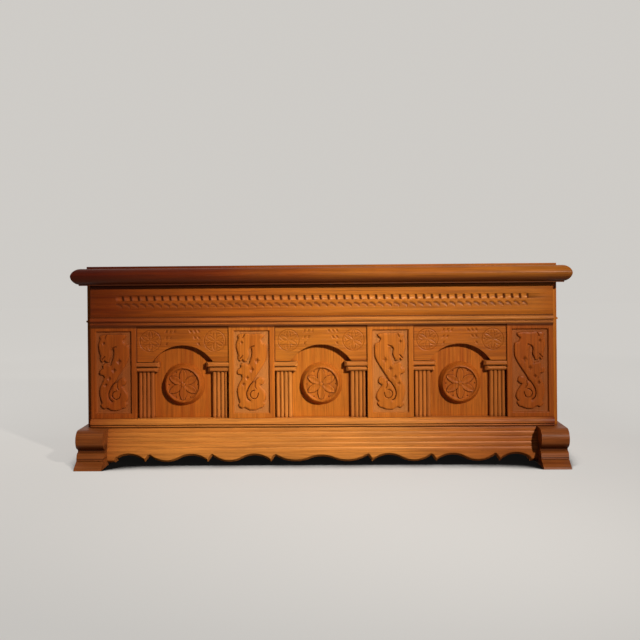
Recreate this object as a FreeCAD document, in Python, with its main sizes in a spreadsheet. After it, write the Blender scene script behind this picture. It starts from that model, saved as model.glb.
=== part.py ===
import FreeCAD, Part
import math
import os
import re
import Sketcher

# A free-standing carved oak chest with a hinged lid. X runs to the right, -Y to the front and Z up,
# and the origin is the middle of the base of its bounding box. Lengths are millimetres.
SIZES = {
    # Front, across and from the lid down
    "pilaster_width": 116.5,
    "bay_width": 236,
    "side_reveal": 12.5,
    "lid_thickness": 48,
    "frieze_height": 81,
    "mid_moulding_height": 24,
    "pilaster_height": 235,
    "base_moulding_height": 22,
    "foot_height": 94,
    # Front to back
    "case_depth": 410,
    "board_thickness": 18,
    "frame_thickness": 24,
    "panel_setback": 4,
    "panel_thickness": 10,
    "toe_reach": 75,
    # Case frame
    "post_depth": 46,
    "side_rail_thickness": 22,
    "side_panel_setback": 6,
    "low_rail_height": 56,
    "front_rail_drop": 30,
    "tongue": 7,
    "groove_slack": 1,
    "bottom_board_lift": 6,
    "bottom_board_thickness": 10,
    # Lid
    "lid_front_overhang": 38,
    "lid_side_overhang": 27.5,
    "lid_rear_overhang": 25,
    "lid_moulding_width": 40,
    "lid_step_height": 6,
    "lid_step_inset": 33,
    "nose_inset": 27,
    "nose_rise": 25,
    "nose_radius": 22,
    "under_inset": 17,
    "under_rise": 3,
    "under_radius": 23,
    # Mouldings of the front and the bead along the sides
    "fillet_reach": 1.5,
    "large_bead_height": 11,
    "large_bead_base": 10,
    "large_bead_radius": 5.7,
    "small_bead_height": 4.6,
    "small_bead_base": 3.4,
    "small_bead_radius": 2.4,
    "base_reach": 9,
    "base_top_reach": 3,
    "base_band_height": 14,
    "base_curve_radius": 17,
    "base_bead_reach": 5,
    "base_bead_base": 1.2,
    "base_bead_height": 4.4,
    "base_bead_radius": 2.3,
    "side_bead_height": 5,
    "side_bead_reach": 1.5,
    "side_bead_radius": 2.6,
    "side_bead_lift": 10,
    # Framed pilaster panels
    "pilaster_border": 11.5,
    "pilaster_bevel": 4.5,
    "field_depth": 7,
    "scroll_height": 5.6,
    # Arched niches
    "spandrel_height": 91,
    "spandrel_setback": 4,
    "arch_half_span": 77,
    "arch_radius": 91.6,
    "column_width": 41,
    "column_inset": 2.5,
    "column_base_depth": 8,
    "reed_radius": 5.4,
    "cap_gap": 1.5,
    "upper_cap_length": 58,
    "upper_cap_height": 12,
    "upper_cap_depth": 21,
    "lower_cap_length": 54,
    "lower_cap_height": 11,
    "lower_cap_depth": 18,
    "cap_rounding": 5,
    "cap_end_bevel": 6,
    "roundel_lift": 85,
    "roundel_radius": 54,
    "roundel_face_radius": 43.5,
    "roundel_depth": 18,
    "dish_depth": 4.5,
    "rim_slope": 4,
    "button_radius": 5.5,
    "button_top_radius": 3,
    "petal_start": 7,
    "petal_end": 39,
    "petal_half_width": 8.5,
    "petal_shoulder": 10.5,
    "petal_height": 4,
    # Apron with its stepped reeds and scalloped edge
    "apron_clearance": 8,
    "apron_reed_height": 12.4,
    "apron_ledge": 1.2,
    "apron_slope": 2,
    "apron_reed_radius": 24,
    "scallop_depth": 17,
    "front_end_tab": 38,
    "side_end_tab": 26,
    # Feet
    "foot_width": 68,
    "foot_overhang": 11.5,
    "roll_radius": 24,
    "roll_reach": 58,
    "roll_end_angle": 75,
    # Hinges
    "hinge_place": 380,
    "hinge_length": 70,
    "leaf_thickness": 1.9,
    "leaf_gap": 0.1,
    "leaf_reach": 18,
    "barrel_radius": 4.5,
    "barrel_setback": 5,
    "barrel_clearance": 0.8,
    "pin_radius": 2,
    "pin_clearance": 0.05,
    "knuckle_gap": 0.2,
    "overrun": 5,
}

# Counts
BAYS = 3
PILASTERS = BAYS + 1
REEDS = 4
PETALS = 6
APRON_REEDS = 5
# Whole scallops each side of the front apron's middle one
FRONT_SCALLOPS = 2
KNUCKLES = 3

# Places that several pieces share, worked out from the sizes
PLACES = {
    "front_width": f"{PILASTERS} * pilaster_width + {BAYS} * bay_width",
    "case_side": "front_width / 2 + side_reveal",
    "front_face": "(toe_reach - case_depth - lid_rear_overhang) / 2",
    "back_face": "front_face + case_depth",
    "frame_front": "front_face + board_thickness",
    "frame_back": "frame_front + frame_thickness",
    "recess_face": "frame_front + panel_setback",
    "post_inner": "case_side + foot_overhang - foot_width",
    "front_post_back": "frame_front + post_depth",
    "rear_post_front": "back_face - post_depth",
    "back_rail_front": "back_face - side_rail_thickness",
    "side_inner": "case_side - side_rail_thickness",
    "niche_bottom": "foot_height + base_moulding_height",
    "niche_top": "niche_bottom + pilaster_height",
    "frieze_bottom": "niche_top + mid_moulding_height",
    "case_top": "frieze_bottom + frieze_height",
    "low_rail_top": "foot_height + low_rail_height",
    "bay_pitch": "bay_width + pilaster_width",
    "spandrel_bottom": "niche_top - spandrel_height",
    "upper_cap_bottom": "spandrel_bottom - cap_gap - upper_cap_height",
    "lower_cap_bottom": "upper_cap_bottom - cap_gap - lower_cap_height",
    "board_bottom": "foot_height + bottom_board_lift",
    "lid_front": "front_face - lid_front_overhang",
    "lid_rear": "back_face + lid_rear_overhang",
    "lid_side": "case_side + lid_side_overhang",
    "hinge_axis": "back_face + barrel_setback",
    "apron_step": "apron_ledge + apron_slope",
}

# The outline of a pilaster panel's leaf scroll, walked from its upper left curl across the top and round by
# the right, in shares of the panel's width from the left and of its height from the top. A row of one point
# is a straight cut to it, and a row of two is the point that an arc passes through and the one it leads to.
SCROLL_START_SHARES = (0.24, 0.10)
SCROLL_SHARES = (
    ((0.50, 0.075),),
    ((0.81, 0.085),),
    ((0.84, 0.23), (0.70, 0.365)),
    ((0.60, 0.375),),
    ((0.70, 0.41), (0.82, 0.475)),
    ((0.705, 0.53),),
    ((0.715, 0.60), (0.79, 0.70)),
    ((0.73, 0.815),),
    ((0.65, 0.86),),
    ((0.45, 0.885),),
    ((0.26, 0.855),),
    ((0.25, 0.79),),
    ((0.21, 0.735), (0.25, 0.68)),
    ((0.325, 0.61),),
    ((0.27, 0.55),),
    ((0.33, 0.50), (0.30, 0.45)),
    ((0.21, 0.37), (0.175, 0.27)),
    ((0.18, 0.20), (0.27, 0.16)),
    (SCROLL_START_SHARES,),
)

# The foot's front from its hollow neck down to the floor, as shares of its reach and of its height: the neck,
# the upper band, a narrow step and the lower band that runs out to the floor
TOE_SHARES = (
    (0.48, 0.465),
    (0.48, 0.425),
    (0.57, 0.40),
    (0.63, 0.36),
    (0.68, 0.22),
    (0.655, 0.205),
    (0.72, 0.18),
    (0.97, 0.05),
    (1.0, 0.0),
)

# The apron's lower edge is drawn in shares of one scallop's length and of the scallops' depth. A row is a
# place that a straight cut leads to, or that an arc leads to, with the arc's radius as a share of the length
# and its turn. First half of the middle scallop from its middle out, then one whole scallop from tip to tip,
# then what is left of the last. Each scallop ends in a sharp peak and a slanting cut down to the tip.
MIDDLE_SHARES = ((0.19, 0.42, 0.52, "right"), (0.73, 0.90, 0.60, "left"), (0.80, 0.0))
SCALLOP_SHARES = ((0.45, 0.50, 0.392, "right"), (0.93, 0.92, 0.43, "left"), (1.0, 0.0))
LAST_SHARES = ((0.461, 0.4, 0.35, "right"),)

doc = FreeCAD.newDocument("chest")
sheet = doc.addObject("Spreadsheet::Sheet", "Sizes")
for row, (alias, number) in enumerate(SIZES.items(), start=1):
    sheet.set(f"A{row}", alias)
    sheet.set(f"B{row}", str(number))
    sheet.setAlias(f"B{row}", alias)
doc.recompute()

pieces = []


def bind(text, sheet_name="Sizes."):
    """Spells out an expression: each named place becomes its sum, and each size its cell."""
    def spelled(match):
        word = match.group()
        if word in PLACES:
            return "(" + bind(PLACES[word], sheet_name) + ")"
        return sheet_name + word if word in SIZES else word
    return re.sub(r"[a-z][a-z_]*", spelled, text)


def amount(text):
    return float(sheet.evalExpression(bind(text, "")))


def keep(part, name):
    """Names a finished piece of the chest."""
    part.Label = name
    pieces.append(part)
    return part


def place(part, x="0", y="0", z="0"):
    for axis, text in zip("xyz", (x, y, z)):
        part.setExpression("Placement.Base." + axis, bind(text))
    return part


# Solids from primitives

def block(name, x, y, z):
    """A box between two places along each axis."""
    part = doc.addObject("Part::Box", name)
    for side, (low, high) in zip(("Length", "Width", "Height"), (x, y, z)):
        part.setExpression(side, bind(f"({high}) - ({low})"))
    return place(part, x[0], y[0], z[0])


def bar(name, x, y, z, radius):
    """A round bar along X between two places."""
    part = doc.addObject("Part::Cylinder", name)
    part.setExpression("Radius", bind(radius))
    part.setExpression("Height", bind(f"({x[1]}) - ({x[0]})"))
    part.Placement = FreeCAD.Placement(FreeCAD.Vector(), FreeCAD.Rotation(FreeCAD.Vector(0, 1, 0), 90))
    return place(part, x[0], y, z)


def fused(name, parts):
    part = doc.addObject("Part::MultiFuse", name)
    part.Shapes = parts
    return part


def gathered(name, parts):
    part = doc.addObject("Part::Compound", name)
    part.Links = parts
    return part


def less(name, base, tools):
    """The base without its tools."""
    part = doc.addObject("Part::Cut", name)
    part.Base = base
    part.Tool = tools[0] if len(tools) == 1 else fused(name + "_tools", tools)
    return part


def in_row(index, count, pitch):
    """The middle of one piece of a row that is centred on the chest."""
    return f"({index - (count - 1) / 2}) * {pitch}"


def mirrored(side, inner, outer):
    """The low and high place, on the right or the left, of what lies from inner to outer."""
    return (inner, outer) if side == "right" else (f"-({outer})", f"-({inner})")


# Solids from sketches

def origin_feature(body, role):
    return next(feature for feature in body.Origin.OriginFeatures if feature.Role == role)


def arc_between(start, end, radius, turn):
    """The smaller arc from start to end that bends to the left or the right as it is walked."""
    middle = (start + end) / 2
    half = (end - start) / 2
    rise = math.sqrt(max(radius ** 2 - half.Length ** 2, 0))
    left = FreeCAD.Vector(-half.y, half.x, 0).normalize()
    centre = middle + left * (rise if turn == "left" else -rise)
    first, last = (start, end) if turn == "left" else (end, start)
    first_angle = math.atan2(first.y - centre.y, first.x - centre.x)
    last_angle = math.atan2(last.y - centre.y, last.x - centre.x)
    circle = Part.Circle(centre, FreeCAD.Vector(0, 0, 1), radius)
    return Part.ArcOfCircle(circle, first_angle, last_angle)


def outline(body, role, name, points):
    """A closed sketch on one of the body's planes.

    A point is (across, up), or (across, up, radius, turn) where an arc leads to it from the point before."""
    sketch = body.newObject("Sketcher::SketchObject", name)
    sketch.AttachmentSupport = [(origin_feature(body, role), "")]
    sketch.MapMode = "FlatFace"
    corners = [FreeCAD.Vector(amount(point[0]), amount(point[1]), 0) for point in points]
    ends = []
    for index, point in enumerate(points):
        before = corners[index - 1]
        if len(point) == 2:
            edge = sketch.addGeometry(Part.LineSegment(before, corners[index]), False)
            ends.append((edge, 1, 2))
            continue
        radius = amount(point[2])
        edge = sketch.addGeometry(arc_between(before, corners[index], radius, point[3]), False)
        ends.append((edge, 1, 2) if point[3] == "left" else (edge, 2, 1))
        bound = sketch.addConstraint(Sketcher.Constraint("Radius", edge, radius))
        sketch.setExpression(f"Constraints[{bound}]", bind(point[2]))
    for index, point in enumerate(points):
        edge, _, end = ends[index]
        after, start, _ = ends[(index + 1) % len(points)]
        sketch.addConstraint(Sketcher.Constraint("Coincident", edge, end, after, start))
        for kind, text, value in (
            ("DistanceX", point[0], corners[index].x),
            ("DistanceY", point[1], corners[index].y),
        ):
            bound = sketch.addConstraint(Sketcher.Constraint(kind, -1, 1, edge, end, value))
            sketch.setExpression(f"Constraints[{bound}]", bind(text))
    return sketch


def padded(body, sketch, length, symmetric=False):
    pad = body.newObject("PartDesign::Pad", sketch.Name + "_pad")
    pad.Profile = sketch
    pad.Midplane = symmetric
    pad.setExpression("Length", bind(length))
    return pad


def pocketed(body, sketch):
    """Cuts the sketch through the whole body, both ways."""
    pocket = body.newObject("PartDesign::Pocket", sketch.Name + "_pocket")
    pocket.Profile = sketch
    pocket.Type = "ThroughAll"
    pocket.Midplane = True
    return pocket


def new_body(name):
    return doc.addObject("PartDesign::Body", name)


def turned(body, degrees):
    body.Placement = FreeCAD.Placement(FreeCAD.Vector(), FreeCAD.Rotation(FreeCAD.Vector(0, 0, 1), degrees))
    return body


# Case frame: corner posts, rails, muntins and the panels in their grooves

def panel(name, x, y, z, across):
    """A panel and the grooves for it. Its edges stand in the frame along Z and along X or Y, as across says."""
    x_tongue, y_tongue = ("tongue", "0") if across == "x" else ("0", "tongue")
    x_slack, y_slack = ("groove_slack", "0") if across == "x" else ("0", "groove_slack")
    wide = (f"{x[0]} - {x_tongue}", f"{x[1]} + {x_tongue}")
    deep = (f"{y[0]} - {y_tongue}", f"{y[1]} + {y_tongue}")
    high = (f"{z[0]} - tongue", f"{z[1]} + tongue")
    keep(block(name, wide, deep, high), name)
    return block(
        name + "_groove",
        (f"{wide[0]} - {x_slack}", f"{wide[1]} + {x_slack}"),
        (f"{deep[0]} - {y_slack}", f"{deep[1]} + {y_slack}"),
        (f"{high[0]} - groove_slack", f"{high[1]} + groove_slack"),
    )


def make_front_frame(bottom_groove):
    """Rails and muntins behind the carved front, with the three niche panels in their grooves."""
    depth = ("recess_face", "recess_face + panel_thickness")
    height = ("niche_bottom", "niche_top")
    muntin_inner, muntin_outer = "bay_width / 2", "bay_width / 2 + pilaster_width"
    left = panel("niche_panel_left", ("-post_inner", f"-({muntin_outer})"), depth, height, "x")
    centre = panel("niche_panel_centre", (f"-{muntin_inner}", muntin_inner), depth, height, "x")
    right = panel("niche_panel_right", (muntin_outer, "post_inner"), depth, height, "x")
    grooves = [left, centre, right]
    width = ("-post_inner", "post_inner")
    thick = ("frame_front", "frame_back")
    top = block("front_top_rail_blank", width, thick, ("niche_top", "case_top"))
    keep(less("front_top_rail", top, grooves), "front_top_rail")
    low = block("front_bottom_rail_blank", width, thick, ("foot_height - front_rail_drop", "niche_bottom"))
    keep(less("front_bottom_rail", low, grooves + [bottom_groove]), "front_bottom_rail")
    for side in ("left", "right"):
        name = "front_muntin_" + side
        muntin = block(name + "_blank", mirrored(side, muntin_inner, muntin_outer), thick, height)
        keep(less(name, muntin, grooves), name)
    return {"left": left, "right": right}


def make_side_frame(side, bottom_groove):
    """Rails and panel of one end, between the posts."""
    face = mirrored(side, "side_inner", "case_side")
    outer = "case_side - side_panel_setback"
    sunk = mirrored(side, outer + " - panel_thickness", outer)
    length = ("front_post_back", "rear_post_front")
    groove = panel("side_panel_" + side, sunk, length, ("low_rail_top", "niche_top"), "y")
    top = block(f"side_top_rail_{side}_blank", face, length, ("niche_top", "case_top"))
    keep(less("side_top_rail_" + side, top, [groove]), "side_top_rail_" + side)
    low = block(f"side_bottom_rail_{side}_blank", face, length, ("foot_height", "low_rail_top"))
    keep(less("side_bottom_rail_" + side, low, [groove, bottom_groove]), "side_bottom_rail_" + side)
    return groove


def make_back_frame(bottom_groove):
    """Rails and panel of the back, between the rear posts. The top rail is let in for the hinges."""
    sunk = ("back_face - side_panel_setback - panel_thickness", "back_face - side_panel_setback")
    width = ("-post_inner", "post_inner")
    thick = ("back_rail_front", "back_face")
    groove = panel("back_panel", width, sunk, ("low_rail_top", "niche_top"), "x")
    top = block("back_top_rail_blank", width, thick, ("niche_top", "case_top"))
    keep(less("back_top_rail", top, [groove] + case_hinge_seats()), "back_top_rail")
    low = block("back_bottom_rail_blank", width, thick, ("foot_height", "low_rail_top"))
    keep(less("back_bottom_rail", low, [groove, bottom_groove]), "back_bottom_rail")
    return groove


def make_case_frame():
    """Bottom board, frames and the four corner posts, which stand on the feet."""
    board_wide = ("-(side_inner + tongue)", "side_inner + tongue")
    board_deep = ("frame_back - tongue", "back_rail_front + tongue")
    board_high = ("board_bottom", "board_bottom + bottom_board_thickness")
    bottom_groove = block(
        "bottom_groove",
        (f"{board_wide[0]} - groove_slack", f"{board_wide[1]} + groove_slack"),
        (f"{board_deep[0]} - groove_slack", f"{board_deep[1]} + groove_slack"),
        board_high,
    )
    front_grooves = make_front_frame(bottom_groove)
    back_groove = make_back_frame(bottom_groove)
    post_depths = {"front": ("frame_front", "front_post_back"), "rear": ("rear_post_front", "back_face")}
    blanks = []
    for side in ("left", "right"):
        side_groove = make_side_frame(side, bottom_groove)
        for end, depth in post_depths.items():
            name = f"{end}_post_{side}"
            width = mirrored(side, "post_inner", "case_side")
            blank = block(name + "_blank", width, depth, ("foot_height", "case_top"))
            blanks.append(blank)
            other = front_grooves[side] if end == "front" else back_groove
            keep(less(name, blank, [side_groove, other]), name)
    board = block("bottom_board_blank", board_wide, board_deep, board_high)
    keep(less("bottom_board", board, blanks), "bottom_board")


# Front boards and mouldings

def make_frieze():
    width = ("-front_width / 2", "front_width / 2")
    board = block("frieze_board", width, ("front_face", "frame_front"), ("frieze_bottom", "case_top"))
    keep(board, "frieze_board")


def moulding(name, height, points, length):
    """A straight moulding along X whose outline stands on the front frame."""
    body = new_body(name)
    closing = [("board_thickness", "0"), ("board_thickness", height)]
    sketch = outline(body, "YZ_Plane", name + "_outline", closing + points)
    padded(body, sketch, length, symmetric=True)
    return keep(body, name)


def make_mid_moulding():
    """Two beads, the larger above, between flat fillets."""
    points = [
        ("-fillet_reach", "mid_moulding_height"),
        ("-fillet_reach", "large_bead_base + large_bead_height"),
        ("-fillet_reach", "large_bead_base", "large_bead_radius", "left"),
        ("-fillet_reach", "small_bead_base + small_bead_height"),
        ("-fillet_reach", "small_bead_base", "small_bead_radius", "left"),
        ("-fillet_reach", "0"),
    ]
    body = moulding("mid_moulding", "mid_moulding_height", points, "front_width")
    place(body, y="front_face", z="niche_top")


def make_base_moulding():
    """A round-faced band over a thin bead."""
    points = [
        ("-base_top_reach", "base_moulding_height"),
        ("-base_reach", "base_moulding_height - base_band_height", "base_curve_radius", "left"),
        ("-base_bead_reach", "base_moulding_height - base_band_height"),
        ("-base_bead_reach", "base_bead_base + base_bead_height"),
        ("-base_bead_reach", "base_bead_base", "base_bead_radius", "left"),
        ("-base_bead_reach", "0"),
    ]
    body = moulding("base_moulding", "base_moulding_height", points, "front_width")
    place(body, y="front_face", z="foot_height")


def make_side_beads():
    """The thin bead that carries the mid moulding's line along both ends of the case."""
    beads = []
    for side, angle in (("left", -90), ("right", 90)):
        body = turned(new_body("side_bead_" + side), angle)
        points = [
            ("0", "0"),
            ("0", "side_bead_height"),
            ("-side_bead_reach", "side_bead_height"),
            ("-side_bead_reach", "0", "side_bead_radius", "left"),
        ]
        sketch = outline(body, "YZ_Plane", body.Name + "_outline", points)
        padded(body, sketch, "back_face - frame_front", symmetric=True)
        outer = "case_side" if side == "right" else "-case_side"
        beads.append(place(body, outer, "(back_face + frame_front) / 2", "niche_top + side_bead_lift"))
    keep(gathered("side_beads", beads), "side_beads")


# Pilaster panels with their leaf scrolls

def scroll_solid(hand):
    """The raised leaf, with its foot on the sunk field's floor. A hand of -1 is the mirror image."""
    width, height = amount("pilaster_width"), amount("pilaster_height")
    floor = amount("field_depth")

    def corner(shares):
        across, down = shares
        return FreeCAD.Vector(hand * (across - 0.5) * width, floor, (1 - down) * height)

    here = corner(SCROLL_START_SHARES)
    edges = []
    for row in SCROLL_SHARES:
        points = [here] + [corner(shares) for shares in row]
        curve = Part.LineSegment(*points) if len(row) == 1 else Part.Arc(*points)
        edges.append(curve.toShape())
        here = points[-1]
    leaf = Part.Face(Part.Wire(edges))
    return leaf.extrude(FreeCAD.Vector(0, -amount("scroll_height"), 0))


def make_pilaster(index):
    """A board whose sunk field has bevelled sides and a leaf scroll left standing in it."""
    name = f"pilaster_panel_{index + 1}"
    centre = in_row(index, PILASTERS, "bay_pitch")
    half = "pilaster_width / 2"
    width = (f"{centre} - {half}", f"{centre} + {half}")
    board = block(name + "_board", width, ("front_face", "frame_front"), ("niche_bottom", "niche_top"))
    field = doc.addObject("Part::Wedge", name + "_field")
    rim = "pilaster_border"
    floor = "pilaster_border + pilaster_bevel"
    for side, text in (
        ("Xmin", rim), ("Xmax", f"pilaster_width - {rim}"),
        ("Zmin", rim), ("Zmax", f"pilaster_height - {rim}"),
        ("Ymin", "0"), ("Ymax", "field_depth"),
        ("X2min", floor), ("X2max", f"pilaster_width - ({floor})"),
        ("Z2min", floor), ("Z2max", f"pilaster_height - ({floor})"),
    ):
        field.setExpression(side, bind(text))
    place(field, width[0], "front_face", "niche_bottom")
    sunk = less(name + "_sunk", board, [field])
    leaf = doc.addObject("Part::Feature", name + "_leaf")
    leaf.Shape = scroll_solid(-1 if index < PILASTERS / 2 else 1)
    place(leaf, centre, "front_face", "niche_bottom")
    keep(fused(name, [sunk, leaf]), name)


# Arched niches

def make_spandrel(name, centre):
    """The board over a niche, cut to a segmental arch."""
    body = new_body(name)
    half = "bay_width / 2"
    points = [
        (f"-{half}", "0"),
        ("-arch_half_span", "0"),
        ("arch_half_span", "0", "arch_radius", "right"),
        (half, "0"),
        (half, "spandrel_height"),
        (f"-{half}", "spandrel_height"),
    ]
    sketch = outline(body, "XZ_Plane", name + "_outline", points)
    padded(body, sketch, "recess_face - front_face - spandrel_setback")
    place(keep(body, name), centre, "recess_face", "spandrel_bottom")


def make_column(name, left_edge):
    """A flat column with half-round reeds."""
    body = new_body(name)
    points = [("column_width", "0"), ("column_width", "-column_base_depth")]
    for reed in reversed(range(REEDS)):
        points.append((f"{reed} / {REEDS} * column_width", "-column_base_depth", "reed_radius", "right"))
    points.append(("0", "0"))
    sketch = outline(body, "XY_Plane", name + "_outline", points)
    padded(body, sketch, "lower_cap_bottom - niche_bottom")
    place(keep(body, name), left_edge, "recess_face", "niche_bottom")


def cap_bar(name, bay_centre, side, bottom, length, height, depth):
    """One bar of a column's cap, from the bay's edge in, with a rounded front and a bevelled inner end."""
    body = new_body(name)
    inner = 1 if side == "left" else -1
    points = [
        ("0", "0"),
        ("0", height),
        (f"-{depth} + cap_rounding", height),
        (f"-{depth}", f"{height} - cap_rounding", "cap_rounding", "left"),
        (f"-{depth}", "cap_rounding"),
        (f"-{depth} + cap_rounding", "0", "cap_rounding", "left"),
    ]
    sketch = outline(body, "YZ_Plane", name + "_outline", points)
    padded(body, sketch, length, symmetric=True)
    bevel = [
        (f"{inner} * ({length} / 2 - cap_end_bevel - overrun)", f"-{depth} - overrun"),
        (f"{inner} * ({length} / 2 + 2 * overrun)", f"-{depth} - overrun"),
        (f"{inner} * ({length} / 2 + 2 * overrun)", f"-{depth} + cap_end_bevel + 2 * overrun"),
    ]
    pocketed(body, outline(body, "XY_Plane", name + "_bevel", bevel))
    middle = f"{bay_centre} - {inner} * (bay_width / 2 - {length} / 2)"
    return place(body, middle, "recess_face", bottom)


def make_caps(name, bay_centre):
    bars = []
    for side in ("left", "right"):
        for level in ("upper", "lower"):
            size = [f"{level}_cap_{part}" for part in ("bottom", "length", "height", "depth")]
            bars.append(cap_bar(f"{name}_{side}_{level}", bay_centre, side, *size))
    keep(gathered(name, bars), name)


def make_niche(label, index):
    """Everything in one bay: arch, columns, caps and roundel."""
    centre = in_row(index, BAYS, "bay_pitch")
    make_spandrel("spandrel_" + label, centre)
    make_column(f"column_{label}_a", f"{centre} - bay_width / 2 + column_inset")
    make_column(f"column_{label}_b", f"{centre} + bay_width / 2 - column_inset - column_width")
    make_caps("column_caps_" + label, centre)
    make_roundel("roundel_" + label, centre)


def make_roundel(name, centre):
    """A turned boss with sloped sides, a sunk face and six raised petals round a button."""
    profile = [
        ("0", "0"),
        ("roundel_radius", "0"),
        ("roundel_face_radius", "-roundel_depth"),
        ("roundel_face_radius - rim_slope", "-(roundel_depth - dish_depth)"),
        ("button_radius", "-(roundel_depth - dish_depth)"),
        ("button_top_radius", "-roundel_depth"),
        ("0", "-roundel_depth"),
    ]
    body = new_body(name)
    turning = body.newObject("PartDesign::Revolution", name + "_turning")
    turning.Profile = outline(body, "XY_Plane", name + "_profile", profile)
    turning.ReferenceAxis = (origin_feature(body, "Y_Axis"), [""])
    turning.Angle = 360
    petal = [
        ("0", "petal_start"),
        ("petal_half_width", "petal_start + petal_shoulder"),
        ("petal_half_width", "petal_end - petal_shoulder"),
        ("0", "petal_end"),
        ("-petal_half_width", "petal_end - petal_shoulder"),
        ("-petal_half_width", "petal_start + petal_shoulder"),
    ]
    petal_sketch = outline(body, "XZ_Plane", name + "_petal", petal)
    pad = padded(body, petal_sketch, "roundel_depth - dish_depth + petal_height")
    ring = body.newObject("PartDesign::PolarPattern", name + "_petals")
    ring.Originals = [pad]
    ring.Axis = (origin_feature(body, "Y_Axis"), [""])
    ring.Angle = 360
    ring.Occurrences = PETALS
    body.Tip = ring
    place(keep(body, name), centre, "recess_face", "niche_bottom + roundel_lift")


# Apron

def scallop_edge(half_length, end_tab, whole_scallops):
    """The right half of the lower edge, from its middle outwards, as an outline's points."""
    low = "apron_clearance"
    runs = [(0, MIDDLE_SHARES)]
    reached = MIDDLE_SHARES[-1][0]
    for _ in range(whole_scallops):
        runs.append((reached, SCALLOP_SHARES))
        reached += SCALLOP_SHARES[-1][0]
    if whole_scallops:
        runs.append((reached, LAST_SHARES))
        reached += LAST_SHARES[-1][0]
    scallop = f"(({half_length} - {end_tab}) / {reached})"
    points = []
    for start, shares in runs:
        for across, rise, *bend in shares:
            point = (f"{start + across} * {scallop}", f"{low} + {rise} * scallop_depth")
            if bend:
                radius, turn = bend
                point += (f"{radius} * {scallop}", turn)
            points.append(point)
    if whole_scallops:
        points.append((points[-1][0], low))
    points.append((f"{half_length} + overrun", low))
    return points


def whole_edge(right):
    """Both halves of a symmetric edge from left to right, with one arc over the middle."""
    walked = []
    for index in range(len(right) - 1, 0, -1):
        across, up = right[index - 1][:2]
        walked.append((f"-({across})", up) + right[index][2:])
    start = [(f"-({right[-1][0]})", right[-1][1])]
    return start + walked + right


def make_apron(name, half_length, end_tab, whole_scallops, angle, x, y):
    """A board that steps outwards in reeds and ends in a scalloped edge."""
    body = turned(new_body(name), angle)
    points = [("board_thickness", "0"), ("board_thickness", "foot_height"), ("0", "foot_height")]
    for reed in range(APRON_REEDS):
        top = f"foot_height - {reed} * apron_reed_height"
        points.append((f"-{reed} * apron_step - apron_ledge", top))
        points.append((
            f"-{reed + 1} * apron_step", f"{top} - apron_reed_height", "apron_reed_radius", "left",
        ))
    points.append((f"-{APRON_REEDS} * apron_step", "0"))
    sketch = outline(body, "YZ_Plane", name + "_profile", points)
    padded(body, sketch, f"2 * ({half_length})", symmetric=True)
    edge = whole_edge(scallop_edge(half_length, end_tab, whole_scallops))
    floor = [(f"{half_length} + overrun", "-overrun"), (f"-({half_length} + overrun)", "-overrun")]
    pocketed(body, outline(body, "XZ_Plane", name + "_edge", edge + floor))
    place(keep(body, name), x, y)


def make_aprons():
    make_apron("apron_front", "post_inner", "front_end_tab", FRONT_SCALLOPS, 0, "0", "front_face")
    side_half = "(rear_post_front - front_post_back) / 2"
    middle = "(rear_post_front + front_post_back) / 2"
    make_apron("apron_left", side_half, "side_end_tab", 0, -90, "-case_side", middle)
    make_apron("apron_right", side_half, "side_end_tab", 0, 90, "case_side", middle)


# Feet

def make_front_foot(side):
    """A block whose front has a roll over a neck and a flared toe."""
    name = "front_foot_" + side
    body = new_body(name)
    roll_start = "-(roll_reach - roll_radius)"
    roll_middle = "foot_height - roll_radius"
    roll_end = (
        f"{roll_start} - roll_radius * cos(roll_end_angle)",
        f"{roll_middle} - roll_radius * sin(roll_end_angle)",
    )
    points = [
        ("board_thickness + post_depth", "0"),
        ("board_thickness + post_depth", "foot_height"),
        (roll_start, "foot_height"),
        ("-roll_reach", roll_middle, "roll_radius", "left"),
        roll_end + ("roll_radius", "left"),
    ]
    points += [(f"-{forward} * toe_reach", f"{up} * foot_height") for forward, up in TOE_SHARES]
    sketch = outline(body, "YZ_Plane", name + "_profile", points)
    padded(body, sketch, "foot_width", symmetric=True)
    centre = "post_inner + foot_width / 2"
    place(keep(body, name), centre if side == "right" else f"-({centre})", "front_face")


def make_rear_foot(side):
    name = "rear_foot_" + side
    width = mirrored(side, "post_inner", "post_inner + foot_width")
    keep(block(name, width, ("rear_post_front", "back_face"), ("0", "foot_height")), name)


# Lid

def lid_moulding(name, length, angle, mitres, x, y):
    """A stepped nosing along X whose inner face is at zero, mitred at the ends that are named."""
    body = turned(new_body(name), angle)
    reach = "lid_moulding_width"
    points = [
        ("0", "0"),
        ("0", "lid_thickness"),
        (f"-({reach} - lid_step_inset)", "lid_thickness"),
        (f"-({reach} - lid_step_inset)", "lid_thickness - lid_step_height"),
        (f"-({reach} - nose_inset)", "lid_thickness - lid_step_height"),
        (f"-{reach}", "nose_rise", "nose_radius", "left"),
        (f"-({reach} - under_inset)", "under_rise", "under_radius", "left"),
        (f"-({reach} - under_inset)", "0"),
    ]
    sketch = outline(body, "YZ_Plane", name + "_profile", points)
    padded(body, sketch, length, symmetric=True)
    for end in mitres:
        corner = [
            (f"{end} * ({length} / 2 + overrun)", f"-{reach} - overrun"),
            (f"{end} * ({length} / 2 + overrun)", "overrun"),
            (f"{end} * ({length} / 2 - {reach} - overrun)", "overrun"),
        ]
        label = name + ("_mitre_right" if end > 0 else "_mitre_left")
        pocketed(body, outline(body, "XY_Plane", label, corner))
    place(keep(body, name), x, y, "case_top")


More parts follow.
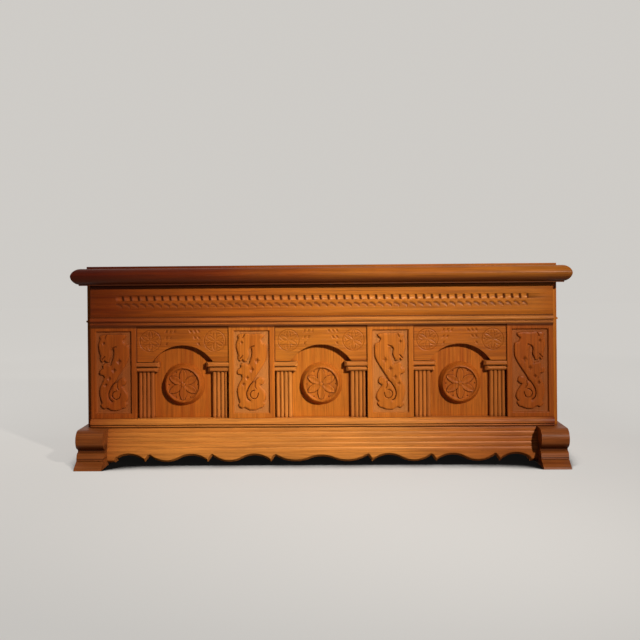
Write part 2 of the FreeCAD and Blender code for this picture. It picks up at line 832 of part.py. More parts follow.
def make_lid():
    depth = "(lid_rear - lid_front)"
    middle = "(lid_rear + lid_front) / 2"
    inner_side = "lid_side - lid_moulding_width"
    lid_moulding("lid_moulding_front", "2 * lid_side", 0, (-1, 1), "0", "lid_front + lid_moulding_width")
    lid_moulding("lid_moulding_left", depth, -90, (1,), f"-({inner_side})", middle)
    lid_moulding("lid_moulding_right", depth, 90, (-1,), inner_side, middle)
    width = (f"-({inner_side})", inner_side)
    top = ("case_top", "case_top + lid_thickness")
    board = block("lid_board_blank", width, ("lid_front + lid_moulding_width", "lid_rear"), top)
    keep(less("lid_board", board, lid_hinge_seats()), "lid_board")


# Hinges: two butt hinges, each leaf let in flush and the barrel just behind the case

def hinge_centres():
    return {"left": "-hinge_place", "right": "hinge_place"}


def leaf_height(owner):
    """The low and high place of a leaf of the case or of the lid."""
    if owner == "case":
        return "case_top - leaf_gap - leaf_thickness", "case_top - leaf_gap"
    return "case_top + leaf_gap", "case_top + leaf_gap + leaf_thickness"


def case_hinge_seats():
    """What the back rail loses for each hinge: the leaf's seat."""
    seats = []
    for side, centre in hinge_centres().items():
        span = (f"{centre} - hinge_length / 2", f"{centre} + hinge_length / 2")
        depth = ("back_face - leaf_reach", "back_face + overrun")
        height = ("case_top - leaf_gap - leaf_thickness", "case_top + overrun")
        seats.append(block("case_seat_" + side, span, depth, height))
    return seats


def lid_hinge_seats():
    """What the lid board loses for each hinge: the leaf's seat and the barrel's trench."""
    seats = []
    for side, centre in hinge_centres().items():
        span = (f"{centre} - hinge_length / 2", f"{centre} + hinge_length / 2")
        depth = ("back_face - leaf_reach", "hinge_axis")
        height = ("case_top - overrun", "case_top + leaf_gap + leaf_thickness")
        seats.append(block("lid_seat_" + side, span, depth, height))
        trench = (f"{span[0]} - barrel_clearance", f"{span[1]} + barrel_clearance")
        radius = "barrel_radius + barrel_clearance"
        seats.append(bar("lid_trench_" + side, trench, "hinge_axis", "case_top", radius))
    return seats


def leaf(owner, side, centre):
    """A leaf with its share of the knuckles, bored for the pin."""
    name = f"{owner}_leaf_{side}"
    start = f"{centre} - hinge_length / 2"
    height = leaf_height(owner)
    span = (start, f"{centre} + hinge_length / 2")
    plate = block(name + "_plate", span, ("back_face - leaf_reach", "back_face"), height)
    parts = [plate]
    for knuckle in range(0 if owner == "case" else 1, KNUCKLES, 2):
        span = (
            f"{start} + {knuckle} / {KNUCKLES} * hinge_length + knuckle_gap / 2",
            f"{start} + {knuckle + 1} / {KNUCKLES} * hinge_length - knuckle_gap / 2",
        )
        parts.append(block(f"{name}_neck_{knuckle}", span, ("back_face", "hinge_axis"), height))
        parts.append(bar(f"{name}_knuckle_{knuckle}", span, "hinge_axis", "case_top", "barrel_radius"))
    bore = bar(
        name + "_bore",
        (f"{start} - overrun", f"{centre} + hinge_length / 2 + overrun"),
        "hinge_axis",
        "case_top",
        "pin_radius + pin_clearance",
    )
    return less(name, fused(name + "_blank", parts), [bore])


def make_hinges():
    for owner in ("case", "lid"):
        leaves = [leaf(owner, side, centre) for side, centre in hinge_centres().items()]
        keep(gathered(f"hinge_{owner}_leaves", leaves), f"hinge_{owner}_leaves")
    pins = []
    for side, centre in hinge_centres().items():
        span = (f"{centre} - hinge_length / 2", f"{centre} + hinge_length / 2")
        pins.append(bar("pin_" + side, span, "hinge_axis", "case_top", "pin_radius"))
    keep(gathered("hinge_pins", pins), "hinge_pins")


def check_and_write():
    """Stops on any failed object or bad shape, then writes one file for each piece."""
    doc.recompute()
    for item in doc.Objects:
        if "Invalid" in item.State or "Error" in item.State:
            raise RuntimeError(f"{item.Label} failed: {item.State}")
    for part in pieces:
        if part.Shape.isNull() or not part.Shape.isValid() or not part.Shape.Solids:
            raise RuntimeError(f"{part.Label} has no valid solid")
    os.makedirs("parts", exist_ok=True)
    for part in pieces:
        part.Shape.exportStep(f"parts/{part.Label}.step")
    print(len(pieces), "pieces written")


make_case_frame()
make_frieze()
make_mid_moulding()
make_base_moulding()
make_side_beads()
for number in range(PILASTERS):
    make_pilaster(number)
for number, word in enumerate(("left", "centre", "right")):
    make_niche(word, number)
make_aprons()
for word in ("left", "right"):
    make_front_foot(word)
    make_rear_foot(word)
make_lid()
make_hinges()
check_and_write()
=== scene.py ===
import math

import bmesh
import bpy
import numpy as np
from mathutils import Euler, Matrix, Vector


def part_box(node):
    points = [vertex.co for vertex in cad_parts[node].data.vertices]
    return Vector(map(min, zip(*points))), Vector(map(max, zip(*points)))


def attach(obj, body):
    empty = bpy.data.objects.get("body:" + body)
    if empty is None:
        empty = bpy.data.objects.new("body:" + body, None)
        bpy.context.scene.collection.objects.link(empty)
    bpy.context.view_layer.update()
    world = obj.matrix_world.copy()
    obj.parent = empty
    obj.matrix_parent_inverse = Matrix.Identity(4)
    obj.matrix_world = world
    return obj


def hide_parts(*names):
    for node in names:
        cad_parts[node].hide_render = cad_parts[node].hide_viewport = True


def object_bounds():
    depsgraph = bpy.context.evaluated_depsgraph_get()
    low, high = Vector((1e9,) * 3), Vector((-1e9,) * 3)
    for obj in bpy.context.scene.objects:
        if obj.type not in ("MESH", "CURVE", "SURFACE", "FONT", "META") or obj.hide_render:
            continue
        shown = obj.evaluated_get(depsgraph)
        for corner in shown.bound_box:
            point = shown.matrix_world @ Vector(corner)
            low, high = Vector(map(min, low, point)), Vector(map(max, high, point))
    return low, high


# Looks for a carved oak chest. Metres, with X to the right, -Y to the front and Z up. Each carved piece is
# a slab whose front is a height field: a grid over the piece's own box, with the depth of every point
# worked out in millimetres from its place.

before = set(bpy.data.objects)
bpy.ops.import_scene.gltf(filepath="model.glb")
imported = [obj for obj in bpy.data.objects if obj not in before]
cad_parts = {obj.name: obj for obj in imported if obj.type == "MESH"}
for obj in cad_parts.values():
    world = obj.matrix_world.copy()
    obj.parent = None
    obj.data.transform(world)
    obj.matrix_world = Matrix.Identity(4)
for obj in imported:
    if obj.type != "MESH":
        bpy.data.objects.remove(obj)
cad_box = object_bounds()
MM = 0.001


# Fields

CURVE_STEPS = 6


def smooth(value, low, high):
    """A step from 0 at low to 1 at high with soft ends."""
    t = np.clip((value - low) / (high - low), 0, 1)
    return t * t * (3 - 2 * t)


def hump(value, start, full, fade, end):
    """A soft step up from 0 to 1 and a soft step down again."""
    return smooth(value, start, full) * (1 - smooth(value, fade, end))


def groove(distance, half_width):
    """A round-bottomed cut along a line, 1 on the line and 0 at the half width."""
    return 1 - smooth(np.abs(distance), 0, half_width)


def to_path(x, z, points, closed=False):
    """Distance from each point of the grid to a path."""
    ends = points[1:] + (points[:1] if closed else [])
    nearest = np.full(x.shape, np.inf)
    for (ax, az), (bx, bz) in zip(points, ends):
        dx, dz = bx - ax, bz - az
        t = np.clip(((x - ax) * dx + (z - az) * dz) / (dx * dx + dz * dz), 0, 1)
        nearest = np.minimum(nearest, np.hypot(x - ax - t * dx, z - az - t * dz))
    return nearest


def inside(x, z, points):
    """True where the grid lies within a closed path."""
    odd = np.zeros(x.shape, dtype=bool)
    for (ax, az), (bx, bz) in zip(points, points[1:] + points[:1]):
        if az != bz:
            odd ^= ((az > z) != (bz > z)) & (x < (bx - ax) * (z - az) / (bz - az) + ax)
    return odd


def rounded(points, closed):
    """The points joined by a smooth curve that passes through each."""
    count = len(points)
    out = []
    for i in range(count if closed else count - 1):
        if closed:
            four = [points[(i + k) % count] for k in (-1, 0, 1, 2)]
        else:
            four = [points[min(max(i + k, 0), count - 1)] for k in (-1, 0, 1, 2)]
        p = [np.array(point, dtype=float) for point in four]
        for step in range(CURVE_STEPS):
            t = step / CURVE_STEPS
            bend = (
                2 * p[1] + (p[2] - p[0]) * t + (2 * p[0] - 5 * p[1] + 4 * p[2] - p[3]) * t ** 2
                + (3 * p[1] - p[0] - 3 * p[2] + p[3]) * t ** 3
            ) / 2
            out.append(tuple(bend))
    return out if closed else out + [points[-1]]


def blurred(field, cells):
    """The field averaged over a square window."""
    out = field
    window = 2 * cells + 1
    for axis in (0, 1):
        pads = [(0, 0), (0, 0)]
        pads[axis] = (cells + 1, cells)
        total = np.cumsum(np.pad(out, pads, mode="edge"), axis=axis)
        size = field.shape[axis]
        ends = np.take(total, range(window, window + size), axis)
        out = (ends - np.take(total, range(size), axis)) / window
    return out


def even_steps(low, high, step):
    return np.linspace(low, high, max(int(round(abs(high - low) / step)), 1) + 1)


def grain_noise(shape, cells, seed):
    """Soft lumps, from -1 to 1, about that many cells across."""
    lumps = blurred(np.random.default_rng(seed).uniform(-1, 1, shape), cells)
    return lumps / np.abs(lumps).max()


def from_sides(x, z, left, right, bottom, top):
    """Distance from each point of the grid to the nearest side of a rectangle round it."""
    return np.minimum(np.minimum(x - left, right - x), np.minimum(z - bottom, top - z))


# Pieces

CRISP_ANGLE = 40


def shade(piece):
    """Smooth shading that keeps edges sharper than an angle crisp."""
    piece.data.polygons.foreach_set("use_smooth", [True] * len(piece.data.polygons))
    limit = math.radians(CRISP_ANGLE)
    bm = bmesh.new()
    bm.from_mesh(piece.data)
    for edge in bm.edges:
        edge.smooth = len(edge.link_faces) == 2 and edge.calc_face_angle(0) < limit
    bm.to_mesh(piece.data)
    bm.free()


def new_piece(name, vertices, faces, material, body="case"):
    mesh = bpy.data.meshes.new(name)
    mesh.from_pydata(np.asarray(vertices).tolist(), [], faces)
    mesh.update()
    mesh.materials.append(material)
    piece = bpy.data.objects.new(name, mesh)
    bpy.context.scene.collection.objects.link(piece)
    shade(piece)
    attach(piece, body)
    return piece


def set_field(piece, name, values):
    """Stores a value for each point: the oak materials paint shade into hollows and a highlight onto raised
    edges, and pale a dusty ground.
    """
    layer = piece.data.attributes.new(name, "FLOAT", "POINT")
    layer.data.foreach_set("value", np.asarray(values, dtype=np.float32))


def on_face(node, facing, across, depth, up):
    """Points in metres from millimetres across a node's face, in from it and up."""
    low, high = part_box(node)
    across, depth, up = (np.asarray(values, dtype=float) * MM for values in (across, depth, up))
    if facing == "front":
        return np.stack([across, low.y + depth, up], axis=-1)
    if facing == "right":
        return np.stack([high.x - depth, across, up], axis=-1)
    return np.stack([low.x + depth, -across, up], axis=-1)


def carved_slab(node, x, z, depth, back, material, shade_and_highlight, facing="front", dust=None):
    """A slab in place of a node. x and z are grids and back is the slab's thickness, in millimetres, and
    depth is measured in from the node's face."""
    rows, columns = x.shape
    front = on_face(node, facing, x, depth, z).reshape(-1, 3)
    rim = [(0, c) for c in range(columns)]
    rim += [(r, columns - 1) for r in range(1, rows)]
    rim += [(rows - 1, c) for c in range(columns - 2, -1, -1)]
    rim += [(r, 0) for r in range(rows - 2, 0, -1)]
    at = tuple(np.array(rim).T)
    behind = on_face(node, facing, x[at], np.full(len(rim), back), z[at])
    start, count = rows * columns, len(rim)
    faces = []
    for r in range(rows - 1):
        row = r * columns
        faces += [(a, a + 1, a + 1 + columns, a + columns) for a in range(row, row + columns - 1)]
    for i in range(count):
        j = (i + 1) % count
        a, b = rim[i][0] * columns + rim[i][1], rim[j][0] * columns + rim[j][1]
        faces.append((b, a, start + i, start + j))
    low_edge = [start + c for c in range(columns)]
    high_edge = [start + 2 * columns + rows - 3 - c for c in range(columns)]
    for c in range(columns - 1):
        faces.append((low_edge[c + 1], low_edge[c], high_edge[c], high_edge[c + 1]))
    left = [low_edge[0]] + [start + count - r for r in range(1, rows - 1)] + [high_edge[0]]
    right = [start + columns - 1 + r for r in range(rows)]
    faces.append(tuple(reversed(left)))
    faces.append(tuple(right))
    piece = new_piece(node + "_carved", np.concatenate([front, behind]), faces, material)
    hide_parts(node)
    set_field(piece, "painted_shading", np.concatenate([np.clip(shade_and_highlight, -1, 1).reshape(-1), np.zeros(count)]))
    if dust is not None:
        set_field(piece, "dust", np.concatenate([dust.reshape(-1), np.zeros(count)]))
    return piece


# Material nodes

# A colour mix's sockets, by their place on the node
MIX_FACTOR, MIX_FIRST, MIX_SECOND, MIX_RESULT = 0, 6, 7, 2
GRAIN_SHIFT = (7.3, 3.1, 5.7)


def node_of(tree, kind, **values):
    node = tree.nodes.new(kind)
    for key, value in values.items():
        setattr(node, key, value)
    return node


def feed(tree, socket, source):
    """Links a socket to another, or sets it to a plain value."""
    if isinstance(source, bpy.types.NodeSocket):
        tree.links.new(source, socket)
    else:
        socket.default_value = source


def set_sockets(node, **values):
    """Sets a node's sockets, named with underscores for spaces."""
    for name, value in values.items():
        node.inputs[name.replace("_", " ")].default_value = value


def noise(tree, coordinates, stretch, detail=4.0, roughness=0.5, distortion=0.0):
    """Noise whose scale is set along each axis."""
    mapping = node_of(tree, "ShaderNodeMapping")
    mapping.inputs["Scale"].default_value = stretch
    tree.links.new(coordinates, mapping.inputs["Vector"])
    field = node_of(tree, "ShaderNodeTexNoise")
    set_sockets(field, Scale=1, Detail=detail, Roughness=roughness, Distortion=distortion)
    tree.links.new(mapping.outputs["Vector"], field.inputs["Vector"])
    return field.outputs["Fac"]


def ramp(tree, source, *stops):
    node = node_of(tree, "ShaderNodeValToRGB")
    elements = node.color_ramp.elements
    for index, (position, value) in enumerate(stops):
        element = elements[index] if index < 2 else elements.new(position)
        element.position = position
        element.color = value if len(value) == 4 else (*value, 1)
    tree.links.new(source, node.inputs["Fac"])
    return node.outputs["Color"]


def grey(value):
    return (value, value, value, 1)


def rise(tree, source, low, high, start=0.0, end=1.0):
    """A tone that goes from start to end while the source goes from low to high."""
    return ramp(tree, source, (low, grey(start)), (high, grey(end)))


def mixed(tree, factor, first, second, blend="MIX"):
    node = node_of(tree, "ShaderNodeMix", data_type="RGBA", blend_type=blend)
    for place, source in ((MIX_FACTOR, factor), (MIX_FIRST, first), (MIX_SECOND, second)):
        feed(tree, node.inputs[place], source)
    return node.outputs[MIX_RESULT]


def math_node(tree, operation, first, second):
    node = node_of(tree, "ShaderNodeMath", operation=operation)
    for socket, source in zip(node.inputs, (first, second)):
        feed(tree, socket, source)
    return node.outputs[0]


def share_between(tree, source, low, high):
    """0 at low, 1 at high and in step between them."""
    node = node_of(tree, "ShaderNodeMapRange")
    node.inputs["From Min"].default_value = low
    node.inputs["From Max"].default_value = high
    tree.links.new(source, node.inputs["Value"])
    return node.outputs["Result"]


def painted(tree, colour, strength, paint):
    """The colour under a coat of paint that is as thick as strength says."""
    return mixed(tree, strength, colour, (*paint, 1))


def bumped(tree, surface, height, strength, distance):
    bump = node_of(tree, "ShaderNodeBump")
    set_sockets(bump, Strength=strength, Distance=distance)
    tree.links.new(height, bump.inputs["Height"])
    tree.links.new(bump.outputs["Normal"], surface.inputs["Normal"])


def new_material(name):
    material = bpy.data.materials.new(name)
    material.use_nodes = True
    tree = material.node_tree
    return material, tree, tree.nodes["Principled BSDF"]


def places(tree):
    """A point's place in metres."""
    return node_of(tree, "ShaderNodeTexCoord").outputs["Object"]


def place_along(tree, axis):
    split = node_of(tree, "ShaderNodeSeparateXYZ")
    tree.links.new(places(tree), split.inputs[0])
    return split.outputs[axis]


def shifted_places(tree):
    """Places moved by a different amount on each piece, so that no two boards share their grain."""
    chance = node_of(tree, "ShaderNodeObjectInfo").outputs["Random"]
    shift = node_of(tree, "ShaderNodeVectorMath", operation="MULTIPLY_ADD")
    tree.links.new(chance, shift.inputs[0])
    shift.inputs[1].default_value = GRAIN_SHIFT
    tree.links.new(places(tree), shift.inputs[2])
    return shift.outputs["Vector"]


def along(axis, length_scale, cross_scale):
    """Noise scales for a pattern drawn out along one axis."""
    return tuple(length_scale if letter == axis else cross_scale for letter in "xyz")


# Oak

HONEY = (0.62, 0.195, 0.020)
HONEY_DARK = (0.46, 0.122, 0.011)
AMBER = (0.58, 0.166, 0.018)
AMBER_DARK = (0.46, 0.112, 0.011)
PALE = (0.67, 0.238, 0.042)
PALE_DARK = (0.53, 0.165, 0.026)
BROWN = (0.49, 0.150, 0.017)
BROWN_DARK = (0.34, 0.084, 0.009)
RUSSET = (0.33, 0.092, 0.020)
RUSSET_DARK = (0.22, 0.050, 0.008)
DUST = (0.46, 0.20, 0.060)
PORE = (0.20, 0.050, 0.006)
# Colour of painted shade
PAINTED_SHADE = (0.070, 0.015, 0.003)
# Multiplier for a painted highlight on raised edges, partly standing for wear
HIGHLIGHT_AND_WEAR = (1.6, 1.9, 3.0, 1)

# Noise scales along and across the grain
GROWTH_SCALES = (1.6, 60)
FIBRE_SCALES = (8, 330)
PORE_SCALES = (45, 1300)
PATCH_SCALES = (5, 5, 5)
GROWTH_STOPS = (0.28, 0.52, 0.75)
BRIGHT_GROWTH = 1.10

# Where a tone starts and ends to change, and its values there
FIBRE_RISE = (0.34, 0.60, 0.66, 1.06)
PORE_RISE = (0.60, 0.72)
PATCH_RISE = (0.30, 0.70)
PAINTED_SHADE_RISE = (0.08, 0.90)
HIGHLIGHT_AND_WEAR_RISE = (0.15, 0.9)
ROUGH_RISE = (0.3, 0.7)
SHADE_LINE_FALL = (0.45, 1.0, 1.0, 0.0)
# How closed in a point must be before painted shade darkens it, and how dark that painted shade gets
CREVICE_SHADE_FROM, CREVICE_SHADE_TO = 0.14, 0.58
CREVICE_SHADE_STRENGTH = 0.92
CREVICE_REACH = 0.010

# How much of each layer shows
FIBRE_SHARE = 0.85
PORE_SHARE = 0.45
DUST_SHARE = 0.55
PAINTED_SHADE_SHARE = 0.85
SHADE_LINE_SHARE = 0.8
HIGHLIGHT_AND_WEAR_SHARE = 0.6

OAK_GLOSS = 0.36
LID_GLOSS = 0.30
FIBRE_ROUGHNESS = 0.13
PAINTED_SHADE_ROUGHNESS = 0.85
OAK_BUMP = 0.35
OAK_BUMP_HEIGHT = 0.0006
FIBRE_BUMP = 0.7

# Painted falloff of light across the chest's front, darker and redder towards the ends: how much of the light
# it leaves, at shares of the chest's width. Below a set level it reddens the wood too. The painted falloff
# evens out from the front to the middle of the depth.
FALLOFF_REDDENS_BELOW = 0.88
FALLOFF_REDDENING = 0.75
EVEN_FROM, EVEN_TO = -0.19, 0.0
EVEN_TONE = (0.66, 0.56, 0.56, 1)
FRONT_FALLOFF_SHARES = (
    (0.07, 0.34), (0.25, 0.60), (0.38, 0.68), (0.50, 0.80), (0.62, 0.85), (0.93, 0.82), (0.97, 0.70),
)
BAY_FALLOFF_SHARES = (
    (0.07, 0.48), (0.25, 0.67), (0.38, 0.87), (0.50, 0.86), (0.56, 0.80), (0.70, 0.72), (0.87, 0.70),
    (0.95, 0.62),
)
PANEL_FALLOFF_SHARES = ((0.10, 0.56), (0.30, 0.90), (0.40, 1.0), (0.62, 0.95), (0.70, 0.85), (0.90, 0.62))
BASE_FALLOFF_SHARES = (
    (0.03, 0.50), (0.10, 0.78), (0.20, 0.98), (0.50, 0.88), (0.65, 0.90), (0.75, 0.74), (0.88, 0.60),
    (0.93, 0.64), (0.97, 0.30),
)
LID_FALLOFF_SHARES = (
    (0.05, 0.20), (0.13, 0.29), (0.25, 0.31), (0.31, 0.37), (0.38, 0.57), (0.45, 0.58), (0.56, 0.80),
    (0.75, 0.81), (0.87, 1.0), (0.95, 0.93),
)

# Lines of painted shade in the grooves of the mid and base mouldings and under their lower edges, on the
# lower half of the lid's rounded nose, and under the feet's roll and in the toe's groove: the height of each
# one's middle and its half width, in millimetres
MID_LINES = ((373.6, 1.9), (360.0, 1.4), (352.0, 2.6))
BASE_LINES = ((100.8, 1.8), (94.4, 2.6))
LID_LINES = ((450, 34),)
FOOT_LINES = ((48, 14), (23.5, 2.0))


def painted_falloff(tree, colour, stops):
    """The colour under a painted falloff of light, darker and redder towards the ends of the chest's front,
    that evens out behind it.
    """
    tones = []
    for share, left in stops:
        redder = left * min(left / FALLOFF_REDDENS_BELOW, 1) ** FALLOFF_REDDENING
        tones.append((share, (left, redder, redder)))
    across = share_between(tree, place_along(tree, "X"), cad_box[0][0], cad_box[1][0])
    behind = share_between(tree, place_along(tree, "Y"), EVEN_FROM, EVEN_TO)
    falloff = mixed(tree, behind, ramp(tree, across, *tones), EVEN_TONE)
    return mixed(tree, 1.0, colour, falloff, "MULTIPLY")


def painted_shade_lines(tree, lines):
    """How much painted shade lies at each height."""
    up = place_along(tree, "Z")
    total = None
    for middle, half_width in lines:
        off = math_node(tree, "SUBTRACT", up, middle * MM)
        share = math_node(tree, "DIVIDE", math_node(tree, "ABSOLUTE", off, 0.0), half_width * MM)
        line = rise(tree, share, *SHADE_LINE_FALL)
        total = line if total is None else math_node(tree, "MAXIMUM", total, line)
    return total


def oak(name, axis, light, dark, tint=0.10, gloss=OAK_GLOSS, falloff=None, lines=None, crevice_shade_to=CREVICE_SHADE_TO):
    """Varnished oak: growth bands, fine pores and patchy staining. Hollows, crevices and given heights are
    darkened with painted shade, raised edges and cut floors are paler with a painted highlight that partly
    stands for wear, a sunk ground is dusty, and a painted falloff of light can darken the ends."""
    material, tree, surface = new_material(name)
    where = shifted_places(tree)

    def times(source, share):
        return math_node(tree, "MULTIPLY", source, share)

    growth = noise(tree, where, along(axis, *GROWTH_SCALES), detail=5, roughness=0.6, distortion=0.8)
    bright = [channel * BRIGHT_GROWTH for channel in light]
    colour = ramp(tree, growth, *zip(GROWTH_STOPS, (dark, light, bright)))
    fibres = noise(tree, where, along(axis, *FIBRE_SCALES), detail=3, roughness=0.6)
    colour = mixed(tree, FIBRE_SHARE, colour, rise(tree, fibres, *FIBRE_RISE), "MULTIPLY")
    pores = rise(tree, noise(tree, where, along(axis, *PORE_SCALES), detail=2), *PORE_RISE)
    colour = painted(tree, colour, times(pores, PORE_SHARE), PORE)
    patches = noise(tree, where, PATCH_SCALES, detail=3)
    colour = mixed(tree, 1.0, colour, rise(tree, patches, *PATCH_RISE, 1 - tint, 1 + tint / 2), "MULTIPLY")
    dust = node_of(tree, "ShaderNodeAttribute", attribute_name="dust").outputs["Fac"]
    colour = painted(tree, colour, times(dust, DUST_SHARE), DUST)
    # A painted falloff of light, darker and redder towards the chest's ends
    if falloff:
        colour = painted_falloff(tree, colour, falloff)
    # Painted shade in hollows and at the foot of walls, from the stored field
    painted_shading = node_of(tree, "ShaderNodeAttribute", attribute_name="painted_shading").outputs["Fac"]
    shade_and_highlight = rise(tree, painted_shading, *PAINTED_SHADE_RISE)
    colour = painted(tree, colour, times(shade_and_highlight, PAINTED_SHADE_SHARE), PAINTED_SHADE)
    # Lines of painted shade at given heights
    if lines:
        colour = painted(tree, colour, times(painted_shade_lines(tree, lines), SHADE_LINE_SHARE), PAINTED_SHADE)
    # Painted shade in crevices and between parts, from how closed in each point is
    crevice = node_of(tree, "ShaderNodeAmbientOcclusion", samples=6)
    crevice.inputs["Distance"].default_value = CREVICE_REACH
    crevice_shade = rise(tree, crevice.outputs["AO"], CREVICE_SHADE_FROM, crevice_shade_to, CREVICE_SHADE_STRENGTH, 0.0)
    colour = painted(tree, colour, crevice_shade, PAINTED_SHADE)
    # A painted highlight on raised edges and cut floors, partly standing for wear
    edge = rise(tree, times(painted_shading, -1.0), *HIGHLIGHT_AND_WEAR_RISE)
    highlight = mixed(tree, 1.0, colour, HIGHLIGHT_AND_WEAR, "MULTIPLY")
    colour = mixed(tree, times(edge, HIGHLIGHT_AND_WEAR_SHARE), colour, highlight)
    tree.links.new(colour, surface.inputs["Base Color"])
    rough = rise(tree, fibres, *ROUGH_RISE, gloss + FIBRE_ROUGHNESS, gloss)
    tree.links.new(mixed(tree, shade_and_highlight, rough, grey(PAINTED_SHADE_ROUGHNESS)), surface.inputs["Roughness"])
    set_sockets(surface, Specular_IOR_Level=0.11, Coat_Weight=0.02, Coat_Roughness=0.18)
    relief = math_node(tree, "SUBTRACT", times(fibres, FIBRE_BUMP), pores)
    bumped(tree, surface, relief, OAK_BUMP, OAK_BUMP_HEIGHT)
    return material


OAK_X = oak("oak_grain_across", "x", HONEY, HONEY_DARK)
OAK_Y = oak("oak_grain_deep", "y", HONEY, HONEY_DARK)
OAK_Z = oak("oak_grain_upright", "z", HONEY, HONEY_DARK)
OAK_FRIEZE = oak("oak_frieze", "x", HONEY, HONEY_DARK, falloff=FRONT_FALLOFF_SHARES)
OAK_MID = oak("oak_mid_moulding", "x", PALE, PALE_DARK, falloff=FRONT_FALLOFF_SHARES, lines=MID_LINES)
OAK_BAY = oak("oak_bay", "x", HONEY, HONEY_DARK, falloff=BAY_FALLOFF_SHARES)
OAK_CAP = oak("oak_cap", "x", PALE, PALE_DARK, falloff=BAY_FALLOFF_SHARES)
OAK_COLUMN = oak("oak_column", "z", PALE, PALE_DARK, falloff=BAY_FALLOFF_SHARES, crevice_shade_to=0.85)
OAK_NICHE = oak("oak_niche", "z", HONEY, AMBER_DARK, falloff=BAY_FALLOFF_SHARES)
OAK_BOSS = oak("oak_boss", "z", AMBER, AMBER_DARK, falloff=BAY_FALLOFF_SHARES)
OAK_CARVED = oak("oak_carved_panel", "z", AMBER, AMBER_DARK, tint=0.12, falloff=PANEL_FALLOFF_SHARES)
OAK_BASE = oak("oak_base", "x", PALE, PALE_DARK, falloff=BASE_FALLOFF_SHARES)
OAK_BASE_MOULDING = oak(
    "oak_base_moulding", "x", PALE, PALE_DARK, falloff=BASE_FALLOFF_SHARES, lines=BASE_LINES,
)
OAK_FOOT = oak("oak_foot", "x", RUSSET, RUSSET_DARK, tint=0.3, lines=FOOT_LINES)


def lid_oak(name, axis, lines=None):
    return oak(name, axis, BROWN, BROWN_DARK, 0.2, LID_GLOSS, LID_FALLOFF_SHARES, lines)


OAK_LID_BOARD = lid_oak("oak_lid_board", "x")
OAK_LID = lid_oak("oak_lid", "x", LID_LINES)
OAK_LID_ENDS = lid_oak("oak_lid_ends", "y", LID_LINES)


# Metal

CLOUD_SCALES = (60, 60, 60)
CLOUD_STOPS = (0.35, 0.65)
SCRATCH_SCALE = 2000
SCRATCH_ROUGHNESS = 0.2
METAL_BUMP = 0.2
METAL_BUMP_HEIGHT = 0.0002


def metal(name, light, dark, gloss, scratch):
    """Old metal: cloudy tarnish, fine scratches and worn roughness."""
    material, tree, surface = new_material(name)
    where = shifted_places(tree)
    clouds = noise(tree, where, CLOUD_SCALES, detail=5)
    tree.links.new(ramp(tree, clouds, *zip(CLOUD_STOPS, (dark, light))), surface.inputs["Base Color"])
    set_sockets(surface, Metallic=1.0)
    lines = noise(tree, where, (scratch, SCRATCH_SCALE, SCRATCH_SCALE), detail=2)
    rough = rise(tree, lines, *ROUGH_RISE, gloss, gloss + SCRATCH_ROUGHNESS)
    tree.links.new(rough, surface.inputs["Roughness"])
    bumped(tree, surface, lines, METAL_BUMP, METAL_BUMP_HEIGHT)
    return material


BRASS = metal("aged_brass", (0.58, 0.42, 0.17), (0.30, 0.19, 0.07), gloss=0.32, scratch=90)
STEEL = metal("screw_metal", (0.46, 0.43, 0.39), (0.26, 0.24, 0.21), gloss=0.30, scratch=300)


# Frieze board with its band of gouge cuts, in millimetres

BAND_HALF = 524
BAND_UNITS = 52
BAND_STEP = 0.9
BAND_MARGIN = 4
BAND_BELOW_NICKS = 16
BAND_ABOVE_SCOOPS = 9
SCOOP_RISE = 47
SCOOP_LENGTH = 18.2
SCOOP_HALF_HEIGHT = 6.6
SCOOP_DEPTH = 3.4
SCOOP_BLUNTNESS = 0.6
STAB_BOW = 0.9
STAB_LEAN = 0.8
STAB_WALL = 3.4
STAB_INSET = 0.5
# Painted shade of the stab wall and the shadow it casts: where it starts, is full, fades and ends, right of
# it
STAB_DARK = (-2.8, -1.6, 1.2, 6.4)
STAB_DARK_ENDS_SHARES = (0, 0.3)
NICK_START = 2.5
NICK_RISE = 34.5
NICK_LENGTH = 17
NICK_DROP = 8
NICK_BEND = 2.3
NICK_WIDTH = 7.5
NICK_WALL = 2.8
NICK_DEPTH = 1.6
# Painted shade under each nick's upper wall
NICK_DARK = (-0.8, 0.4, 1.5, 6.0)
NICK_ENDS_SHARES = (0, 0.35, 0.93, 1.02)
NICK_DARK_SHARES = (0, 0.15, 0.9, 1.05)
NICK_DARKNESS = 0.85
# Scoop floors are paler: partly fresh-cut wood, partly painted highlight
CUT_PALENESS = 0.65
PALE_DEPTHS = (0.3, 1.2)
LIGHT_HOLLOW = 0.1
FRIEZE_EDGE = 1
FRIEZE_ROWS_BELOW = (0, FRIEZE_EDGE, 12)
FRIEZE_ROWS_ABOVE = (6, 3, FRIEZE_EDGE, 0)
# Painted shadow of the lid along the board's top
FRIEZE_LID_SHADOW = (4.2, 2)
FRIEZE_LID_SHADOW_DARKNESS = 0.9
FRIEZE_EDGE_BACK = 0.6


def scoop_cut(x, z, middle, stab):
    """A thumbnail cut that drops steeply at its left, flattens and ends at a slightly curved stab. Gives its
    depth and the painted shade of its end wall and of the shadow that wall casts."""
    height = (z - middle) / SCOOP_HALF_HEIGHT
    back = stab + STAB_BOW * height ** 2 - STAB_LEAN * height - x
    floor = np.where(back >= 0, 1 - (back / SCOOP_LENGTH) ** 2, 1 - smooth(-back, 0, STAB_WALL))
    ends = np.clip(1 - height ** 2, 0, 1)
    depth = SCOOP_DEPTH * np.clip(floor, 0, 1) * ends ** SCOOP_BLUNTNESS
    return depth, hump(-back, *STAB_DARK) * smooth(ends, *STAB_DARK_ENDS_SHARES)


